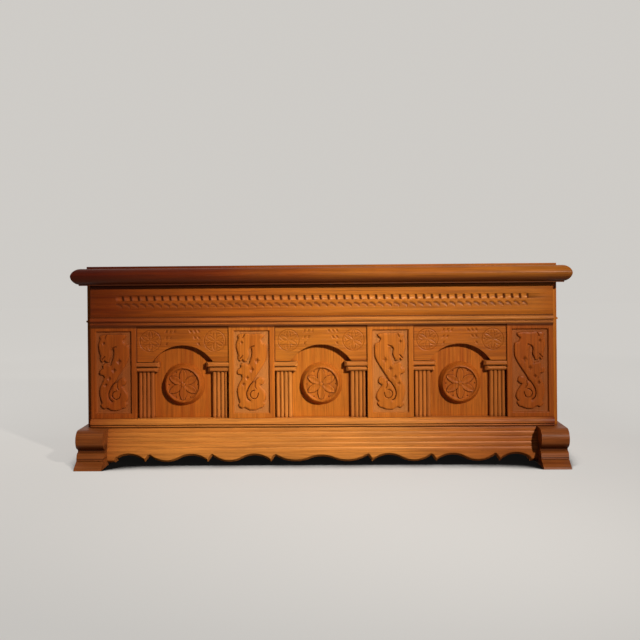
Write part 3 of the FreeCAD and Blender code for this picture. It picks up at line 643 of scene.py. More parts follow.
def nick_cut(x, z, left, top):
    """A shallow lune under a curve that bends down to the right, and the painted shade under its upper wall.
    """
    run = (x - left) / NICK_LENGTH
    under = top - NICK_DROP * np.clip(run, 0, 1) ** NICK_BEND - z
    body = np.where(under >= 0, 1 - under / NICK_WIDTH, 1 - smooth(-under, 0, NICK_WALL))
    depth = NICK_DEPTH * np.clip(body, 0, 1) * hump(run, *NICK_ENDS_SHARES)
    return depth, hump(under, *NICK_DARK) * hump(run, *NICK_DARK_SHARES)


def make_frieze():
    node = "frieze_board"
    low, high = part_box(node)
    left, right, bottom, top = (value / MM for value in (low.x, high.x, low.z, high.z))
    scoop_middle, nick_top = bottom + SCOOP_RISE, bottom + NICK_RISE
    across = np.concatenate([
        [left, left + FRIEZE_EDGE, -BAND_HALF - BAND_MARGIN],
        even_steps(-BAND_HALF, BAND_HALF, BAND_STEP),
        [BAND_HALF + BAND_MARGIN, right - FRIEZE_EDGE, right],
    ])
    up = np.concatenate([
        [bottom + row for row in FRIEZE_ROWS_BELOW],
        even_steps(nick_top - BAND_BELOW_NICKS, scoop_middle + BAND_ABOVE_SCOOPS, BAND_STEP),
        [top - row for row in FRIEZE_ROWS_ABOVE],
    ])
    x, z = np.meshgrid(across, up)
    pitch = 2 * BAND_HALF / BAND_UNITS
    depth, shade_and_highlight, pale = np.zeros(x.shape), np.zeros(x.shape), np.zeros(x.shape)
    for unit in range(BAND_UNITS):
        start = -BAND_HALF + unit * pitch
        near = np.abs(across - start - pitch / 2) < pitch
        part = np.ix_(range(len(up)), near)
        scoop, stab_shade = scoop_cut(x[part], z[part], scoop_middle, start + pitch - STAB_INSET)
        nick, nick_shade = nick_cut(x[part], z[part], start + NICK_START, nick_top)
        depth[part] = np.maximum(depth[part], np.maximum(scoop, nick))
        # Painted shade on the stab walls, their shadows and under the nicks' walls, paler scoop floors, and a
        # painted shadow of the lid along the top
        shade_and_highlight[part] = np.maximum(shade_and_highlight[part], np.maximum(stab_shade, NICK_DARKNESS * nick_shade))
        pale[part] = np.maximum(pale[part], smooth(scoop, *PALE_DEPTHS))
    depth += FRIEZE_EDGE_BACK * (from_sides(x, z, left, right, bottom, top) < FRIEZE_EDGE / 2)
    shade_and_highlight -= CUT_PALENESS * (shade_and_highlight < LIGHT_HOLLOW) * pale
    shade_and_highlight += FRIEZE_LID_SHADOW_DARKNESS * smooth(z, top - FRIEZE_LID_SHADOW[0], top - FRIEZE_LID_SHADOW[1])
    carved_slab(node, x, z, depth, (high.y - low.y) / MM, OAK_FRIEZE, shade_and_highlight)


# Pilaster panels, in millimetres

# The leaf scroll in shares of the panel's width from the left and of its height from the top: its outline,
# walked from the upper left curl by the top and the right, and the cuts inside it
LEAF_OUTLINE_SHARES = [
    (0.234, 0.100), (0.30, 0.089), (0.38, 0.087), (0.50, 0.091), (0.60, 0.085), (0.70, 0.087),
    (0.77, 0.094), (0.80, 0.110), (0.788, 0.138), (0.81, 0.16), (0.832, 0.215), (0.81, 0.271),
    (0.788, 0.315), (0.793, 0.348), (0.766, 0.378), (0.735, 0.381), (0.70, 0.362), (0.675, 0.38),
    (0.615, 0.388), (0.60, 0.365), (0.572, 0.345), (0.558, 0.309), (0.568, 0.262), (0.545, 0.238),
    (0.515, 0.238), (0.49, 0.271), (0.50, 0.326), (0.526, 0.37), (0.565, 0.42), (0.61, 0.415),
    (0.66, 0.41), (0.705, 0.405), (0.735, 0.42), (0.735, 0.45), (0.765, 0.463), (0.80, 0.475),
    (0.815, 0.50), (0.79, 0.522), (0.735, 0.528), (0.71, 0.54), (0.712, 0.564), (0.745, 0.602),
    (0.788, 0.646), (0.81, 0.70), (0.80, 0.757), (0.777, 0.80), (0.76, 0.828), (0.79, 0.853),
    (0.76, 0.878), (0.705, 0.893), (0.657, 0.882), (0.60, 0.896), (0.559, 0.908), (0.47, 0.912),
    (0.384, 0.905), (0.319, 0.89), (0.264, 0.884), (0.235, 0.865), (0.212, 0.842), (0.24, 0.822),
    (0.205, 0.80), (0.19, 0.773), (0.205, 0.735), (0.245, 0.70), (0.30, 0.665), (0.315, 0.643),
    (0.27, 0.635), (0.234, 0.608), (0.25, 0.575), (0.30, 0.56), (0.36, 0.565), (0.41, 0.59),
    (0.45, 0.61), (0.465, 0.60), (0.40, 0.54), (0.386, 0.53), (0.299, 0.464), (0.223, 0.403),
    (0.172, 0.3425), (0.16, 0.276), (0.168, 0.215), (0.20, 0.198), (0.25, 0.19), (0.285, 0.165),
    (0.29, 0.145), (0.25, 0.13), (0.22, 0.105),
]
STEM_CUT_SHARES = [
    (0.45, 0.60), (0.50, 0.62), (0.55, 0.652), (0.605, 0.707), (0.616, 0.751), (0.594, 0.79), (0.54, 0.812),
]
EYE_CUT_SHARES = [
    (0.44, 0.70), (0.493, 0.707), (0.537, 0.735), (0.526, 0.768), (0.47, 0.79), (0.406, 0.785),
    (0.37, 0.757), (0.362, 0.73),
]
CURL_CUT_SHARES = [(0.417, 0.61), (0.428, 0.657), (0.395, 0.685)]
CHEEK_CUT_SHARES = [(0.70, 0.325), (0.76, 0.36)]
BROW_CUT_SHARES = [(0.66, 0.098), (0.69, 0.130)]
NECK_CUT_SHARES = [(0.52, 0.235), (0.45, 0.22)]
PIT_SHARES = [
    (0.382, 0.379, 0.13), (0.496, 0.475, 0.125), (0.60, 0.5635, 0.105), (0.681, 0.633, 0.095),
    (0.715, 0.182, 0.085),
]
# Each cut's half width and depth
LEAF_CUTS = (
    (STEM_CUT_SHARES, 2.2, 3.4), (STEM_CUT_SHARES, 8, 1.2), (EYE_CUT_SHARES, 1.9, 3.0),
    (CURL_CUT_SHARES, 1.8, 2.6), (CHEEK_CUT_SHARES, 2.4, 3.0), (BROW_CUT_SHARES, 2.4, 3.0),
    (NECK_CUT_SHARES, 2.4, 3.0),
)
PANEL_STEP = 0.8
PANEL_BORDER = 11.5
PANEL_BEVEL = 3.5
PANEL_EDGE_BACK = 0.5
GROUND_DEPTH = 6.2
GROUND_LUMPS = 0.3
LEAF_WALL = (-0.9, 0.5)
LEAF_DEPTH = 0.5
LEAF_FALL = 1.1
LEAF_ROUNDING = 5.0
PIT_DEPTH = 4.0
PIT_STRETCH = 0.8
BELOW_GROUND = 1.0
CUT_DARKNESS = 0.16
WALL_BLUR = 3
WALL_DARKNESS = 9
WALL_DARK_LIMITS = (-0.4, 0.25)
# Painted shadow of the mid moulding along the panel's top
PANEL_TOP_SHADOW = (5.8, 3.8)
GROUND_DUST = 0.9


def make_pilaster(index):
    node = f"pilaster_panel_{index + 1}"
    low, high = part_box(node)
    width, height = (high.x - low.x) / MM, (high.z - low.z) / MM
    mirrored = index < 2
    across, up = even_steps(0, width, PANEL_STEP), even_steps(0, height, PANEL_STEP)
    x, z = np.meshgrid(across, up)
    u = width - x if mirrored else x

    def path(shares, closed=False):
        return rounded([(a * width, (1 - d) * height) for a, d in shares], closed)

    rim = from_sides(x, z, 0, width, 0, height)
    field = smooth(rim, PANEL_BORDER, PANEL_BORDER + PANEL_BEVEL)
    leaf = path(LEAF_OUTLINE_SHARES, closed=True)
    from_edge = to_path(u, z, leaf, closed=True) * np.where(inside(u, z, leaf), 1, -1)
    raised = smooth(from_edge, *LEAF_WALL)
    dome = LEAF_DEPTH + LEAF_FALL * (1 - np.clip(from_edge / LEAF_ROUNDING, 0, 1)) ** 2
    ground = GROUND_DEPTH + GROUND_LUMPS * grain_noise(x.shape, 1, index)
    depth = field * (ground * (1 - raised) + dome * raised)
    uncut = depth.copy()
    for shares, half_width, cut in LEAF_CUTS:
        depth += cut * groove(to_path(u, z, path(shares)), half_width) * raised
    for a, d, size in PIT_SHARES:
        reach = np.abs(u - a * width) + PIT_STRETCH * np.abs(z - (1 - d) * height)
        depth += PIT_DEPTH * np.clip(1 - reach / (size * width / 2), 0, 1)
    depth = np.minimum(depth, GROUND_DEPTH + BELOW_GROUND)
    depth += PANEL_EDGE_BACK * (rim < PANEL_STEP / 2)
    # Painted shade in the cuts and pits and at the foot of the leaf's walls, a painted highlight on the
    # leaf's rim, and a painted shadow of the mid moulding along the top
    shade_and_highlight = CUT_DARKNESS * (depth - uncut)
    shade_and_highlight += np.clip((depth - blurred(depth, WALL_BLUR)) / WALL_DARKNESS, *WALL_DARK_LIMITS)
    shade_and_highlight += smooth(z, height - PANEL_TOP_SHADOW[0], height - PANEL_TOP_SHADOW[1])
    dust = (1 - raised) * field * GROUND_DUST
    thickness = (high.y - low.y) / MM
    x, z = x + low.x / MM, z + low.z / MM
    carved_slab(node, x, z, depth, thickness, OAK_CARVED, shade_and_highlight, dust=dust)


# Spandrels, in millimetres

ARCH_HALF_SPAN = 77
ARCH_RADIUS = 91.6
SPANDREL_STEP = 0.8
SPANDREL_ROWS = 100
PETALS = 6
PETAL_TURN = math.pi / 2
PETAL_SWELL = 0.75
PETAL_TIP_WIDTH = 0.3
FLOWER_INSET = 35.5
FLOWER_RISE = 53
FLOWER_RADIUS = 27
FLOWER_LINE = 1.1
FLOWER_LINE_HALF = 1.6
FLOWER_CENTRE_HALF = 2.0
FLOWER_PETAL = (1.5, FLOWER_RADIUS - 1, 6.2)
FLOWER_CUT = 1.0
FLOWER_CUT_EDGE = (0.0, 0.15)
FLOWER_CROWN = 0.7
FLOWER_CROWN_EDGE = (0.25, 0.7)
FLOWER_DOTS_RADIUS = 21
FLOWER_DOT_DEPTH = 1.0
DOT_HALF = 2.4
CHIP_COLUMNS = (76.7, 86.8, 97.4)
CHIP_ROWS = (77, 61, 45)
CHIP_SIZE = 4.2
CHIP_DEPTH = 2.2
CHIP_LEAN = 0.45
CHIP_STRETCH = (1.15, 0.8)
INCISED_BLUR = 4
INCISED_DARKNESS = 1.5
INCISED_PALENESS = -0.5
# Painted shade where the spandrel meets the pilasters, and a painted shadow of the mid moulding along its top
SPANDREL_SIDE_SHADE = (1.2, 3.6)
SPANDREL_SIDE_DARKNESS = 0.9
SPANDREL_TOP_SHADOW = (7.4, 5.2)


def arch_rise(across):
    """Height of the arch's soffit over its springing."""
    inner = np.minimum(np.abs(across), ARCH_HALF_SPAN)
    return np.sqrt(ARCH_RADIUS ** 2 - inner ** 2) - math.sqrt(ARCH_RADIUS ** 2 - ARCH_HALF_SPAN ** 2)


def petals(x, z, start, end, half_width):
    """1 along the middle of each petal of a flower, 0 at its edges."""
    out = np.zeros(x.shape)
    for petal in range(PETALS):
        angle = PETAL_TURN + petal * 2 * math.pi / PETALS
        along_petal = (x * math.cos(angle) + z * math.sin(angle) - start) / (end - start)
        beside = np.abs(z * math.cos(angle) - x * math.sin(angle))
        width = half_width * np.clip(4 * along_petal * (1 - along_petal), 0, 1) ** PETAL_SWELL
        share = np.clip(1 - beside / np.maximum(width, PETAL_TIP_WIDTH), 0, 1)
        out = np.maximum(out, share * (width > PETAL_TIP_WIDTH))
    return out


def dots(x, z, radius):
    """Round-bottomed dots between the petals."""
    out = np.zeros(x.shape)
    for dot in range(PETALS):
        angle = dot * 2 * math.pi / PETALS
        out += groove(np.hypot(x - radius * math.cos(angle), z - radius * math.sin(angle)), DOT_HALF)
    return out


def rosette_cuts(x, z):
    """The incised rosette: its ring, the lines round its petals, its centre and its dots."""
    away = np.hypot(x, z)
    flower = petals(x, z, *FLOWER_PETAL)
    crown = FLOWER_CROWN * smooth(flower, *FLOWER_CROWN_EDGE)
    lines = FLOWER_CUT * smooth(flower, *FLOWER_CUT_EDGE) - crown
    ring = groove(away - FLOWER_RADIUS, FLOWER_LINE_HALF) + groove(away, FLOWER_CENTRE_HALF)
    spots = FLOWER_DOT_DEPTH * dots(x, z, FLOWER_DOTS_RADIUS)
    return FLOWER_LINE * ring + lines * (away < FLOWER_RADIUS) + spots


def chip_cuts(x, z, half):
    """Slanting chips in three rows, one fewer in each row down."""
    out = np.zeros(x.shape)
    for row, up in enumerate(CHIP_ROWS):
        for column in CHIP_COLUMNS[:len(CHIP_ROWS) - row]:
            reach_x, reach_z = x - (half - column), z - up
            beside, above = np.abs(reach_x + reach_z * CHIP_LEAN), np.abs(reach_z)
            reach = np.maximum(beside * CHIP_STRETCH[0], above * CHIP_STRETCH[1])
            out += CHIP_DEPTH * np.clip(1 - reach / CHIP_SIZE, 0, 1)
    return out


def make_spandrel(node):
    low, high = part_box(node)
    centre = (low.x + high.x) / 2 / MM
    half = (high.x - low.x) / 2 / MM
    base, height = low.z / MM, (high.z - low.z) / MM
    side = even_steps(ARCH_HALF_SPAN, half, SPANDREL_STEP)
    under_arch = even_steps(-ARCH_HALF_SPAN, ARCH_HALF_SPAN, SPANDREL_STEP)[1:-1]
    across = np.concatenate([-side[::-1], under_arch, side])
    share = np.linspace(0, 1, SPANDREL_ROWS)
    foot = arch_rise(across)
    x = np.broadcast_to(across, (len(share), len(across))).copy()
    z = foot + share[:, None] * (height - foot)
    depth = np.zeros(x.shape)
    for hand in (-1, 1):
        depth += rosette_cuts(x * hand - (half - FLOWER_INSET), z - FLOWER_RISE)
        depth += chip_cuts(x * hand, z, half)
    # Painted shade in the incised cuts and a painted highlight on their edges, painted shade at the sides and
    # a painted shadow along the top
    shade_and_highlight = np.maximum((depth - blurred(depth, INCISED_BLUR)) / INCISED_DARKNESS, INCISED_PALENESS)
    shade_and_highlight += SPANDREL_SIDE_DARKNESS * (1 - smooth(half - np.abs(x), *SPANDREL_SIDE_SHADE))
    shade_and_highlight += smooth(z, height - SPANDREL_TOP_SHADOW[0], height - SPANDREL_TOP_SHADOW[1])
    carved_slab(node, x + centre, z + base, depth, (high.y - low.y) / MM, OAK_BAY, shade_and_highlight)


# Roundels, in millimetres

# Radius and height of each ring of the turned rim, from its foot inwards
RIM_PROFILE = (
    (54, 0), (53.2, 1.2), (45.8, 16.4), (44.6, 17.6), (43.5, 18), (42.2, 18), (40.4, 14.4), (39, 13.6),
)
ROUNDEL_STEPS = 240
FACE_RADIUS = 38.4
FACE_MIDDLE = 0.6
FACE_STEP = 0.62
FACE_HEIGHT = 13.5
FACE_PETAL = (3.5, 39.5, 9.6)
PETAL_HEIGHT = 3.1
PETAL_EDGE = (0.0, 0.16)
PETAL_DIP = 0.8
PETAL_DIP_EDGE = (0.3, 1.0)
BUTTON_HEIGHT = 3.6
BUTTON_EDGE = (4.0, 5.6)
FACE_DOTS_RADIUS = 36.5
FACE_DOT_DEPTH = 2.6
FACE_BLUR = 3
FACE_DARKNESS = 1.2
FACE_PALENESS = -0.3


def face_relief(x, z, away):
    """Height of the flower, its middle button and its dots over the boss's flat face."""
    flower = petals(x, z, *FACE_PETAL)
    leaf = PETAL_HEIGHT * smooth(flower, *PETAL_EDGE) - PETAL_DIP * smooth(flower, *PETAL_DIP_EDGE)
    button = BUTTON_HEIGHT * (1 - smooth(away, *BUTTON_EDGE)) * (1 - leaf / PETAL_HEIGHT)
    return leaf + button - FACE_DOT_DEPTH * dots(x, z, FACE_DOTS_RADIUS)


def make_roundel(node):
    """A boss built ring by ring from its back, with its carved face inside the last ring of the rim."""
    low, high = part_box(node)
    centre_x, centre_z = (low.x + high.x) / 2, (low.z + high.z) / 2
    angle = np.arange(ROUNDEL_STEPS) * 2 * math.pi / ROUNDEL_STEPS
    face_radii = list(even_steps(FACE_RADIUS, FACE_MIDDLE, FACE_STEP))
    radii = [radius for radius, _ in RIM_PROFILE] + face_radii
    heights = [up for _, up in RIM_PROFILE] + [FACE_HEIGHT] * len(face_radii)
    away = np.array(radii)[:, None] * np.ones(ROUNDEL_STEPS)
    x, z = away * np.cos(angle), away * np.sin(angle)
    height = np.array(heights)[:, None] * np.ones(ROUNDEL_STEPS)
    face = np.zeros(x.shape)
    face[len(RIM_PROFILE):] = 1
    height += face * face_relief(x, z, away)
    back = high.y
    vertices = np.stack([centre_x + x * MM, back - height * MM, centre_z + z * MM], axis=-1).reshape(-1, 3)
    vertices = np.concatenate([vertices, [[centre_x, back - height[-1].mean() * MM, centre_z]]])
    faces = [tuple(reversed(range(ROUNDEL_STEPS)))]
    for ring in range(len(radii) - 1):
        for step in range(ROUNDEL_STEPS):
            a, b = ring * ROUNDEL_STEPS + step, ring * ROUNDEL_STEPS + (step + 1) % ROUNDEL_STEPS
            faces.append((a, b, b + ROUNDEL_STEPS, a + ROUNDEL_STEPS))
    middle = len(radii) * ROUNDEL_STEPS
    last = middle - ROUNDEL_STEPS
    faces += [(last + step, last + (step + 1) % ROUNDEL_STEPS, middle) for step in range(ROUNDEL_STEPS)]
    piece = new_piece(node + "_carved", vertices, faces, OAK_BOSS)
    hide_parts(node)
    # Painted shade in the face's hollows and a painted highlight on its crests
    shade_and_highlight = np.maximum((blurred(height, FACE_BLUR) - height) / FACE_DARKNESS, FACE_PALENESS) * face
    set_field(piece, "painted_shading", np.concatenate([np.clip(shade_and_highlight, -1, 1).reshape(-1), [0]]))


# Aprons, in millimetres

# The lower edge in shares of one scallop's length and of the scallops' depth: where each arc leads, its
# radius as a share of the length, and 1 where it arches up or -1 where it hangs down. Half of the middle
# scallop, then a whole one, then what is left of the last.
MIDDLE_ARC_SHARES = ((0.19, 0.42, 0.52, 1), (0.73, 0.90, 0.60, -1), (0.80, 0.0, 0, 0))
SCALLOP_ARC_SHARES = ((0.45, 0.50, 0.392, 1), (0.93, 0.92, 0.43, -1), (1.0, 0.0, 0, 0))
LAST_ARC_SHARES = ((0.461, 0.4, 0.35, 1),)
SCALLOP_DEPTH = 17
APRON_CLEARANCE = 8
APRON_TOP = 94
FRONT_END_TAB = 22
SIDE_END_TAB = 26
FRONT_SCALLOPS = 2
REEDS = 5
REED_HEIGHT = 12.4
REED_STEP = 3.2
REED_LEDGE = 1.2
REED_BULGE = 0.8
REED_ROWS = 8
REED_GAP = 0.02
REED_BLUR = 2
REED_CREVICE = 1.5
# Painted shade in the creases between reeds
REED_DARKNESS = 0.25
# Painted highlight on each reed's ledge, stronger towards the right
FIRST_HIGHLIGHTED_REED = 0.5
REED_HIGHLIGHT_SHARE = 0.18
REED_HIGHLIGHT = 0.55
REED_HIGHLIGHT_CHANGE = 0.45
REED_HIGHLIGHT_REACH = 300
EDGE_BEVEL = 6
EDGE_ROWS = 16
# Painted shade on the downward-facing bevel of the scalloped edge
EDGE_DARKNESS = 0.62
EDGE_DARK_SHARES = (0.0, 0.2)
APRON_STEP = 1.2


def edge_height(across, half_length, end_tab, whole_scallops):
    """Height of the apron's scalloped edge."""
    runs = [(0, MIDDLE_ARC_SHARES)]
    reached = MIDDLE_ARC_SHARES[-1][0]
    for _ in range(whole_scallops):
        runs.append((reached, SCALLOP_ARC_SHARES))
        reached += SCALLOP_ARC_SHARES[-1][0]
    if whole_scallops:
        runs.append((reached, LAST_ARC_SHARES))
        reached += LAST_ARC_SHARES[-1][0]
    length = (half_length - end_tab) / reached
    height = np.zeros(across.shape)
    side = np.abs(across)
    first = MIDDLE_ARC_SHARES[0]
    here = (-first[0] * length, first[1] * SCALLOP_DEPTH)
    for start, arcs in runs:
        for to, up, radius_share, bulge in arcs:
            there = ((start + to) * length, up * SCALLOP_DEPTH)
            on_part = (side >= here[0]) & (side <= there[0])
            if bulge:
                radius = radius_share * length
                half_x, half_z = (there[0] - here[0]) / 2, (there[1] - here[1]) / 2
                half_chord = math.hypot(half_x, half_z)
                offset = math.sqrt(radius ** 2 - half_chord ** 2) / half_chord * bulge
                centre_x, centre_z = here[0] + half_x + half_z * offset, here[1] + half_z - half_x * offset
                bend = centre_z + bulge * np.sqrt(np.maximum(radius ** 2 - (side - centre_x) ** 2, 0))
            else:
                bend = here[1] + (side - here[0]) * (there[1] - here[1]) / (there[0] - here[0])
            height = np.where(on_part, bend, height)
            here = there
    return APRON_CLEARANCE + height


def reed_reach(up):
    """How far the apron's stepped face stands out, from its top down."""
    down = np.clip((APRON_TOP - up) / REED_HEIGHT, 0, REEDS)
    reed = np.minimum(np.floor(down), REEDS - 1)
    share = down - reed
    slope = REED_LEDGE + (REED_STEP - REED_LEDGE) * share + REED_BULGE * 4 * share * (1 - share)
    return np.where(down >= REEDS, REEDS * REED_STEP, reed * REED_STEP + slope)


def make_apron(node, facing, half_length, end_tab, whole_scallops, material, middle=0):
    across = even_steps(-half_length, half_length, APRON_STEP)
    edge = edge_height(across, half_length, end_tab, whole_scallops)
    reed_bottom = APRON_TOP - REEDS * REED_HEIGHT
    levels = []
    for reed in range(REEDS, 0, -1):
        bottom = APRON_TOP - reed * REED_HEIGHT
        levels += list(bottom + np.linspace(REED_GAP, REED_HEIGHT - REED_GAP, REED_ROWS))
    share = np.linspace(0, 1, EDGE_ROWS)[:, None]
    z = np.concatenate([
        edge + share * (reed_bottom - REED_GAP - edge),
        np.broadcast_to(np.array(levels)[:, None], (len(levels), len(across))),
        np.full((1, len(across)), APRON_TOP),
    ])
    x = np.broadcast_to(across, z.shape).copy()
    depth = REEDS * REED_STEP - reed_reach(z)
    from_edge = to_path(x[:EDGE_ROWS], z[:EDGE_ROWS], list(zip(across[::2], edge[::2])))
    worn = np.clip(1 - from_edge / EDGE_BEVEL, 0, 1)
    depth[:EDGE_ROWS] += EDGE_BEVEL * worn
    down = (APRON_TOP - z) / REED_HEIGHT
    # Painted shade in the reeds' creases, a painted highlight on their ledges and painted shade on the edge's
    # bevel
    shade_and_highlight = REED_DARKNESS * np.clip((depth - blurred(depth, REED_BLUR)) / REED_CREVICE, 0, 1)
    highlight = REED_HIGHLIGHT + REED_HIGHLIGHT_CHANGE * np.clip(x / REED_HIGHLIGHT_REACH, -1, 1)
    shade_and_highlight -= (down % 1 < REED_HIGHLIGHT_SHARE) * (down > FIRST_HIGHLIGHTED_REED) * highlight
    shade_and_highlight[:EDGE_ROWS] = EDGE_DARKNESS * smooth(worn, *EDGE_DARK_SHARES)
    low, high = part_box(node)
    thick = high.y - low.y if facing == "front" else high.x - low.x
    carved_slab(node, x + middle, z, depth, thick / MM, material, shade_and_highlight, facing)


def make_aprons():
    front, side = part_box("apron_front"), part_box("apron_left")
    make_apron("apron_front", "front", front[1].x / MM, FRONT_END_TAB, FRONT_SCALLOPS, OAK_BASE)
    middle = (side[0].y + side[1].y) / 2 / MM
    half = (side[1].y - side[0].y) / 2 / MM
    make_apron("apron_left", "left", half, SIDE_END_TAB, 0, OAK_Y, -middle)
    make_apron("apron_right", "right", half, SIDE_END_TAB, 0, OAK_Y, middle)


# Hinge screws: heads let into the leaves, each split by its slot, in millimetres

SCREW_RADIUS = 3.2
SCREW_SLOT = 0.9
SCREW_SINK = 1.2
SCREW_PROUD = 0.06
SCREW_INSET = 9
SCREW_PLACES = (-25, 0, 25)
SCREW_TURNS = {-1: (20, 75, -40), 1: (10, 60, -15)}
SCREW_STEPS = 13
HINGE_LEAF_HALF = 35
HINGE_CLEARANCE = 0.1


def half_head(centre_x, centre_y, low, high, turn):
    """One half of a slotted head, as corners and faces of a closed prism."""
    first = math.asin(SCREW_SLOT / 2 / SCREW_RADIUS)
    angles = np.linspace(first, math.pi - first, SCREW_STEPS) + math.radians(turn)
    x, y = centre_x + SCREW_RADIUS * np.cos(angles), centre_y + SCREW_RADIUS * np.sin(angles)
    count = len(angles)
    corners = [(a, b, c) for c in (low, high) for a, b in zip(x, y)]
    faces = [tuple(reversed(range(count))), tuple(range(count, 2 * count))]
    faces += [(i, (i + 1) % count, count + (i + 1) % count, count + i) for i in range(count)]
    return corners, faces


def make_screws(name, leaves, outward, body):
    """Three screws in each of the two leaves of a node, which lie just under or over the joint line. The
    heads stand a hair proud of the leaves' face."""
    low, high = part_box(leaves)
    middle_y = low.y / MM + SCREW_INSET
    span = (high.x - low.x) / 2 / MM - HINGE_LEAF_HALF
    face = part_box("lid_board")[0].z / MM - outward * HINGE_CLEARANCE
    bottom, top = sorted((face - outward * SCREW_SINK, face + outward * SCREW_PROUD))
    corners, faces = [], []
    for side in (-1, 1):
        for place, turn in zip(SCREW_PLACES, SCREW_TURNS[side]):
            for half in (0, 180):
                more, around = half_head(side * span + place, middle_y, bottom, top, turn + half)
                faces += [tuple(len(corners) + i for i in face_corners) for face_corners in around]
                corners += more
    new_piece(name, np.array(corners) * MM, faces, STEEL, body)


# Plain nodes: their own shapes, with softened edges, and a material for every node

SOFT_EDGE = 0.0007
WORN_EDGE = 0.0012
SOFT_ANGLE = 35
SOFT_SEGMENTS = 2
WORN_NODES = ("lid", "front_foot", "rear_foot")
LEFT_SHARP = ("hinge", "frieze", "pilaster", "spandrel", "roundel", "apron")

DRESSING = (
    (("base_moulding",), OAK_BASE_MOULDING),
    (("apron_front",), OAK_BASE),
    (("frieze",), OAK_FRIEZE),
    (("mid_moulding",), OAK_MID),
    (("spandrel",), OAK_BAY),
    (("column_caps",), OAK_CAP),
    (("column_left", "column_centre", "column_right"), OAK_COLUMN),
    (("front_top_rail", "front_bottom_rail", "back_", "bottom_board"), OAK_X),
    (("side_beads", "side_top_rail", "side_bottom_rail", "apron_left", "apron_right"), OAK_Y),
    (("front_post", "rear_post", "front_muntin", "side_panel"), OAK_Z),
    (("niche_panel",), OAK_NICHE),
    (("roundel",), OAK_BOSS),
    (("pilaster",), OAK_CARVED),
    (("front_foot", "rear_foot"), OAK_FOOT),
    (("lid_board",), OAK_LID_BOARD),
    (("lid_moulding_front",), OAK_LID),
    (("lid_moulding_left", "lid_moulding_right"), OAK_LID_ENDS),
    (("hinge_case_leaves", "hinge_lid_leaves"), BRASS),
    (("hinge_pins",), STEEL),
)


def soften(piece, width):
    """Takes the sharpness off a piece's edges."""
    bevel = piece.modifiers.new("soft edges", "BEVEL")
    bevel.width = width
    bevel.segments = SOFT_SEGMENTS
    bevel.limit_method = "ANGLE"
    bevel.angle_limit = math.radians(SOFT_ANGLE)
    bevel.use_clamp_overlap = True
    bevel.harden_normals = False
    piece.data.polygons.foreach_set("use_smooth", [True] * len(piece.data.polygons))
    shading = piece.modifiers.new("shading", "WEIGHTED_NORMAL")
    shading.keep_sharp = False


def dress(piece, material):
    if not piece.material_slots:
        piece.data.materials.append(material)
    for slot in piece.material_slots:
        slot.material = material


def dress_all():
    for node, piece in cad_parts.items():
        matches = [material for starts, material in DRESSING if node.startswith(starts)]
        dress(piece, matches[0])
        if not node.startswith(LEFT_SHARP):
            soften(piece, WORN_EDGE if node.startswith(WORN_NODES) else SOFT_EDGE)


# Floor, backdrop, lamps and camera

BACKDROP = (0.62, 0.60, 0.57)
FLOOR_GREY = (0.22, 0.215, 0.21, 1)
FLOOR_HALF = 9.0
# Reach and ramp of the painted contact shadow round and under the chest
SHADOW_REACH = 0.25
SHADOW_RISE = (0.56, 0.66, 0.01, 1.0)
FADE_REACH = 5.0
FADE_RISE = (0.14, 0.60, 0.82, 1.0)
WORLD_COLOUR = (0.92, 0.90, 0.88, 1)
WORLD_STRENGTH = 0.016


def seen_rays(tree):
    """1 for rays that show the backdrop, straight or by a glossy or clear surface, 0 for those that light."""
    path = node_of(tree, "ShaderNodeLightPath")
    mirrored = math_node(tree, "MAXIMUM", path.outputs["Is Camera Ray"], path.outputs["Is Glossy Ray"])
    return math_node(tree, "MAXIMUM", mirrored, path.outputs["Is Transmission Ray"])


def make_floor():
    """Pale paper that fades into the backdrop away from the chest, with a painted contact shadow round and
    under the chest on top of the lamps' own shadows.
    """
    mesh = bpy.data.meshes.new("floor")
    corners = [(x * FLOOR_HALF, y * FLOOR_HALF, 0) for x, y in ((-1, -1), (1, -1), (1, 1), (-1, 1))]
    mesh.from_pydata(corners, [], [(0, 1, 2, 3)])
    floor = bpy.data.objects.new("floor", mesh)
    bpy.context.scene.collection.objects.link(floor)
    material, tree, surface = new_material("floor_paper")
    # Painted contact shadow: the floor's colour and its glow darken where the chest closes it in
    near = node_of(tree, "ShaderNodeAmbientOcclusion", samples=32)
    near.inputs["Distance"].default_value = SHADOW_REACH
    outside_painted_shadow = rise(tree, near.outputs["AO"], *SHADOW_RISE)
    tree.links.new(mixed(tree, 1.0, FLOOR_GREY, outside_painted_shadow, "MULTIPLY"), surface.inputs["Base Color"])
    set_sockets(surface, Roughness=0.9, Specular_IOR_Level=0.0, Emission_Color=(*BACKDROP, 1))
    away = node_of(tree, "ShaderNodeVectorMath", operation="LENGTH")
    tree.links.new(places(tree), away.inputs[0])
    far = rise(tree, math_node(tree, "MULTIPLY", away.outputs["Value"], 1 / FADE_REACH), *FADE_RISE)
    glow = math_node(tree, "MULTIPLY", math_node(tree, "MULTIPLY", far, outside_painted_shadow), seen_rays(tree))
    tree.links.new(glow, surface.inputs["Emission Strength"])
    mesh.materials.append(material)


def make_world():
    world = bpy.data.worlds.new("studio")
    world.use_nodes = True
    tree = world.node_tree
    back = tree.nodes["Background"]
    set_sockets(back, Color=WORLD_COLOUR, Strength=WORLD_STRENGTH)
    seen = node_of(tree, "ShaderNodeBackground")
    set_sockets(seen, Color=(*BACKDROP, 1))
    choice = node_of(tree, "ShaderNodeMixShader")
    for socket, source in zip(choice.inputs, (seen_rays(tree), back.outputs[0], seen.outputs[0])):
        tree.links.new(source, socket)
    tree.links.new(choice.outputs[0], tree.nodes["World Output"].inputs["Surface"])
    bpy.context.scene.world = world


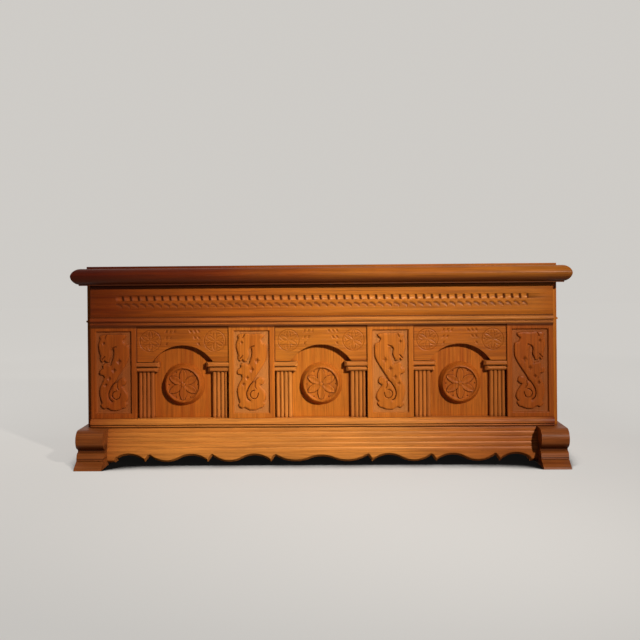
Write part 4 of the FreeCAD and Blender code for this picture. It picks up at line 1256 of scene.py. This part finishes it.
# Each lamp's place, the place that it faces, its size, power, colour and spread in degrees
SOFT = ((0, 0.1, 0.2), 1.2, 8, (1.0, 0.98, 0.95), 120)
LAMPS = {
    "key": ((1.40, -2.50, 1.56), (-0.08, -0.2, 0.22), 0.12, 6.1, (1.0, 0.94, 0.86), 40),
    "fill": ((0.7, -3.2, 0.8), (0, 0, 0.25), 1.0, 0.08, (1.0, 0.97, 0.94), 180),
    "left_soft": ((-2.4, 0.5, 1.3), *SOFT),
    "right_soft": ((2.4, 0.5, 1.3), *SOFT),
    "rear_soft": ((0, 3.0, 0.9), *SOFT),
}


def make_lamp(name, place, target, size, power, colour, spread):
    lamp = bpy.data.lights.new(name, "AREA")
    lamp.size = size
    lamp.spread = math.radians(spread)
    lamp.energy = power
    lamp.color = colour
    holder = bpy.data.objects.new(name, lamp)
    bpy.context.scene.collection.objects.link(holder)
    holder.location = place
    holder.rotation_euler = (Vector(target) - Vector(place)).to_track_quat("-Z", "Y").to_euler()


# A level view with the horizon above the middle of the frame. Its turn and roll are in degrees.
CAMERA_PLACE = (0.046, -2.384, 0.496)
CAMERA_LEVEL = 90
CAMERA_TURN = 1.2
CAMERA_ROLL = -0.5
CAMERA_SHIFT = -0.0812
SENSOR_WIDTH = 36
LENS = 48.9
NEAREST, FARTHEST = 0.05, 60


def make_camera():
    camera = bpy.data.cameras.new("camera")
    camera.sensor_width = SENSOR_WIDTH
    camera.lens = LENS
    camera.shift_y = CAMERA_SHIFT
    camera.clip_start = NEAREST
    camera.clip_end = FARTHEST
    holder = bpy.data.objects.new("camera", camera)
    bpy.context.scene.collection.objects.link(holder)
    holder.location = CAMERA_PLACE
    turn = Euler((math.radians(CAMERA_LEVEL), 0, math.radians(CAMERA_TURN)), "XYZ").to_matrix()
    roll = Euler((0, 0, math.radians(CAMERA_ROLL)), "XYZ").to_matrix()
    holder.rotation_euler = (turn @ roll).to_euler()
    bpy.context.scene.camera = holder


dress_all()
make_frieze()
for index in range(4):
    make_pilaster(index)
for word in ("left", "centre", "right"):
    make_spandrel("spandrel_" + word)
    make_roundel("roundel_" + word)
make_aprons()
make_screws("hinge_case_screws", "hinge_case_leaves", 1, "case")
make_screws("hinge_lid_screws", "hinge_lid_leaves", -1, "lid")
make_floor()
make_world()
for name, settings in LAMPS.items():
    make_lamp(name, *settings)
make_camera()
bpy.context.scene.view_settings.view_transform = "Standard"
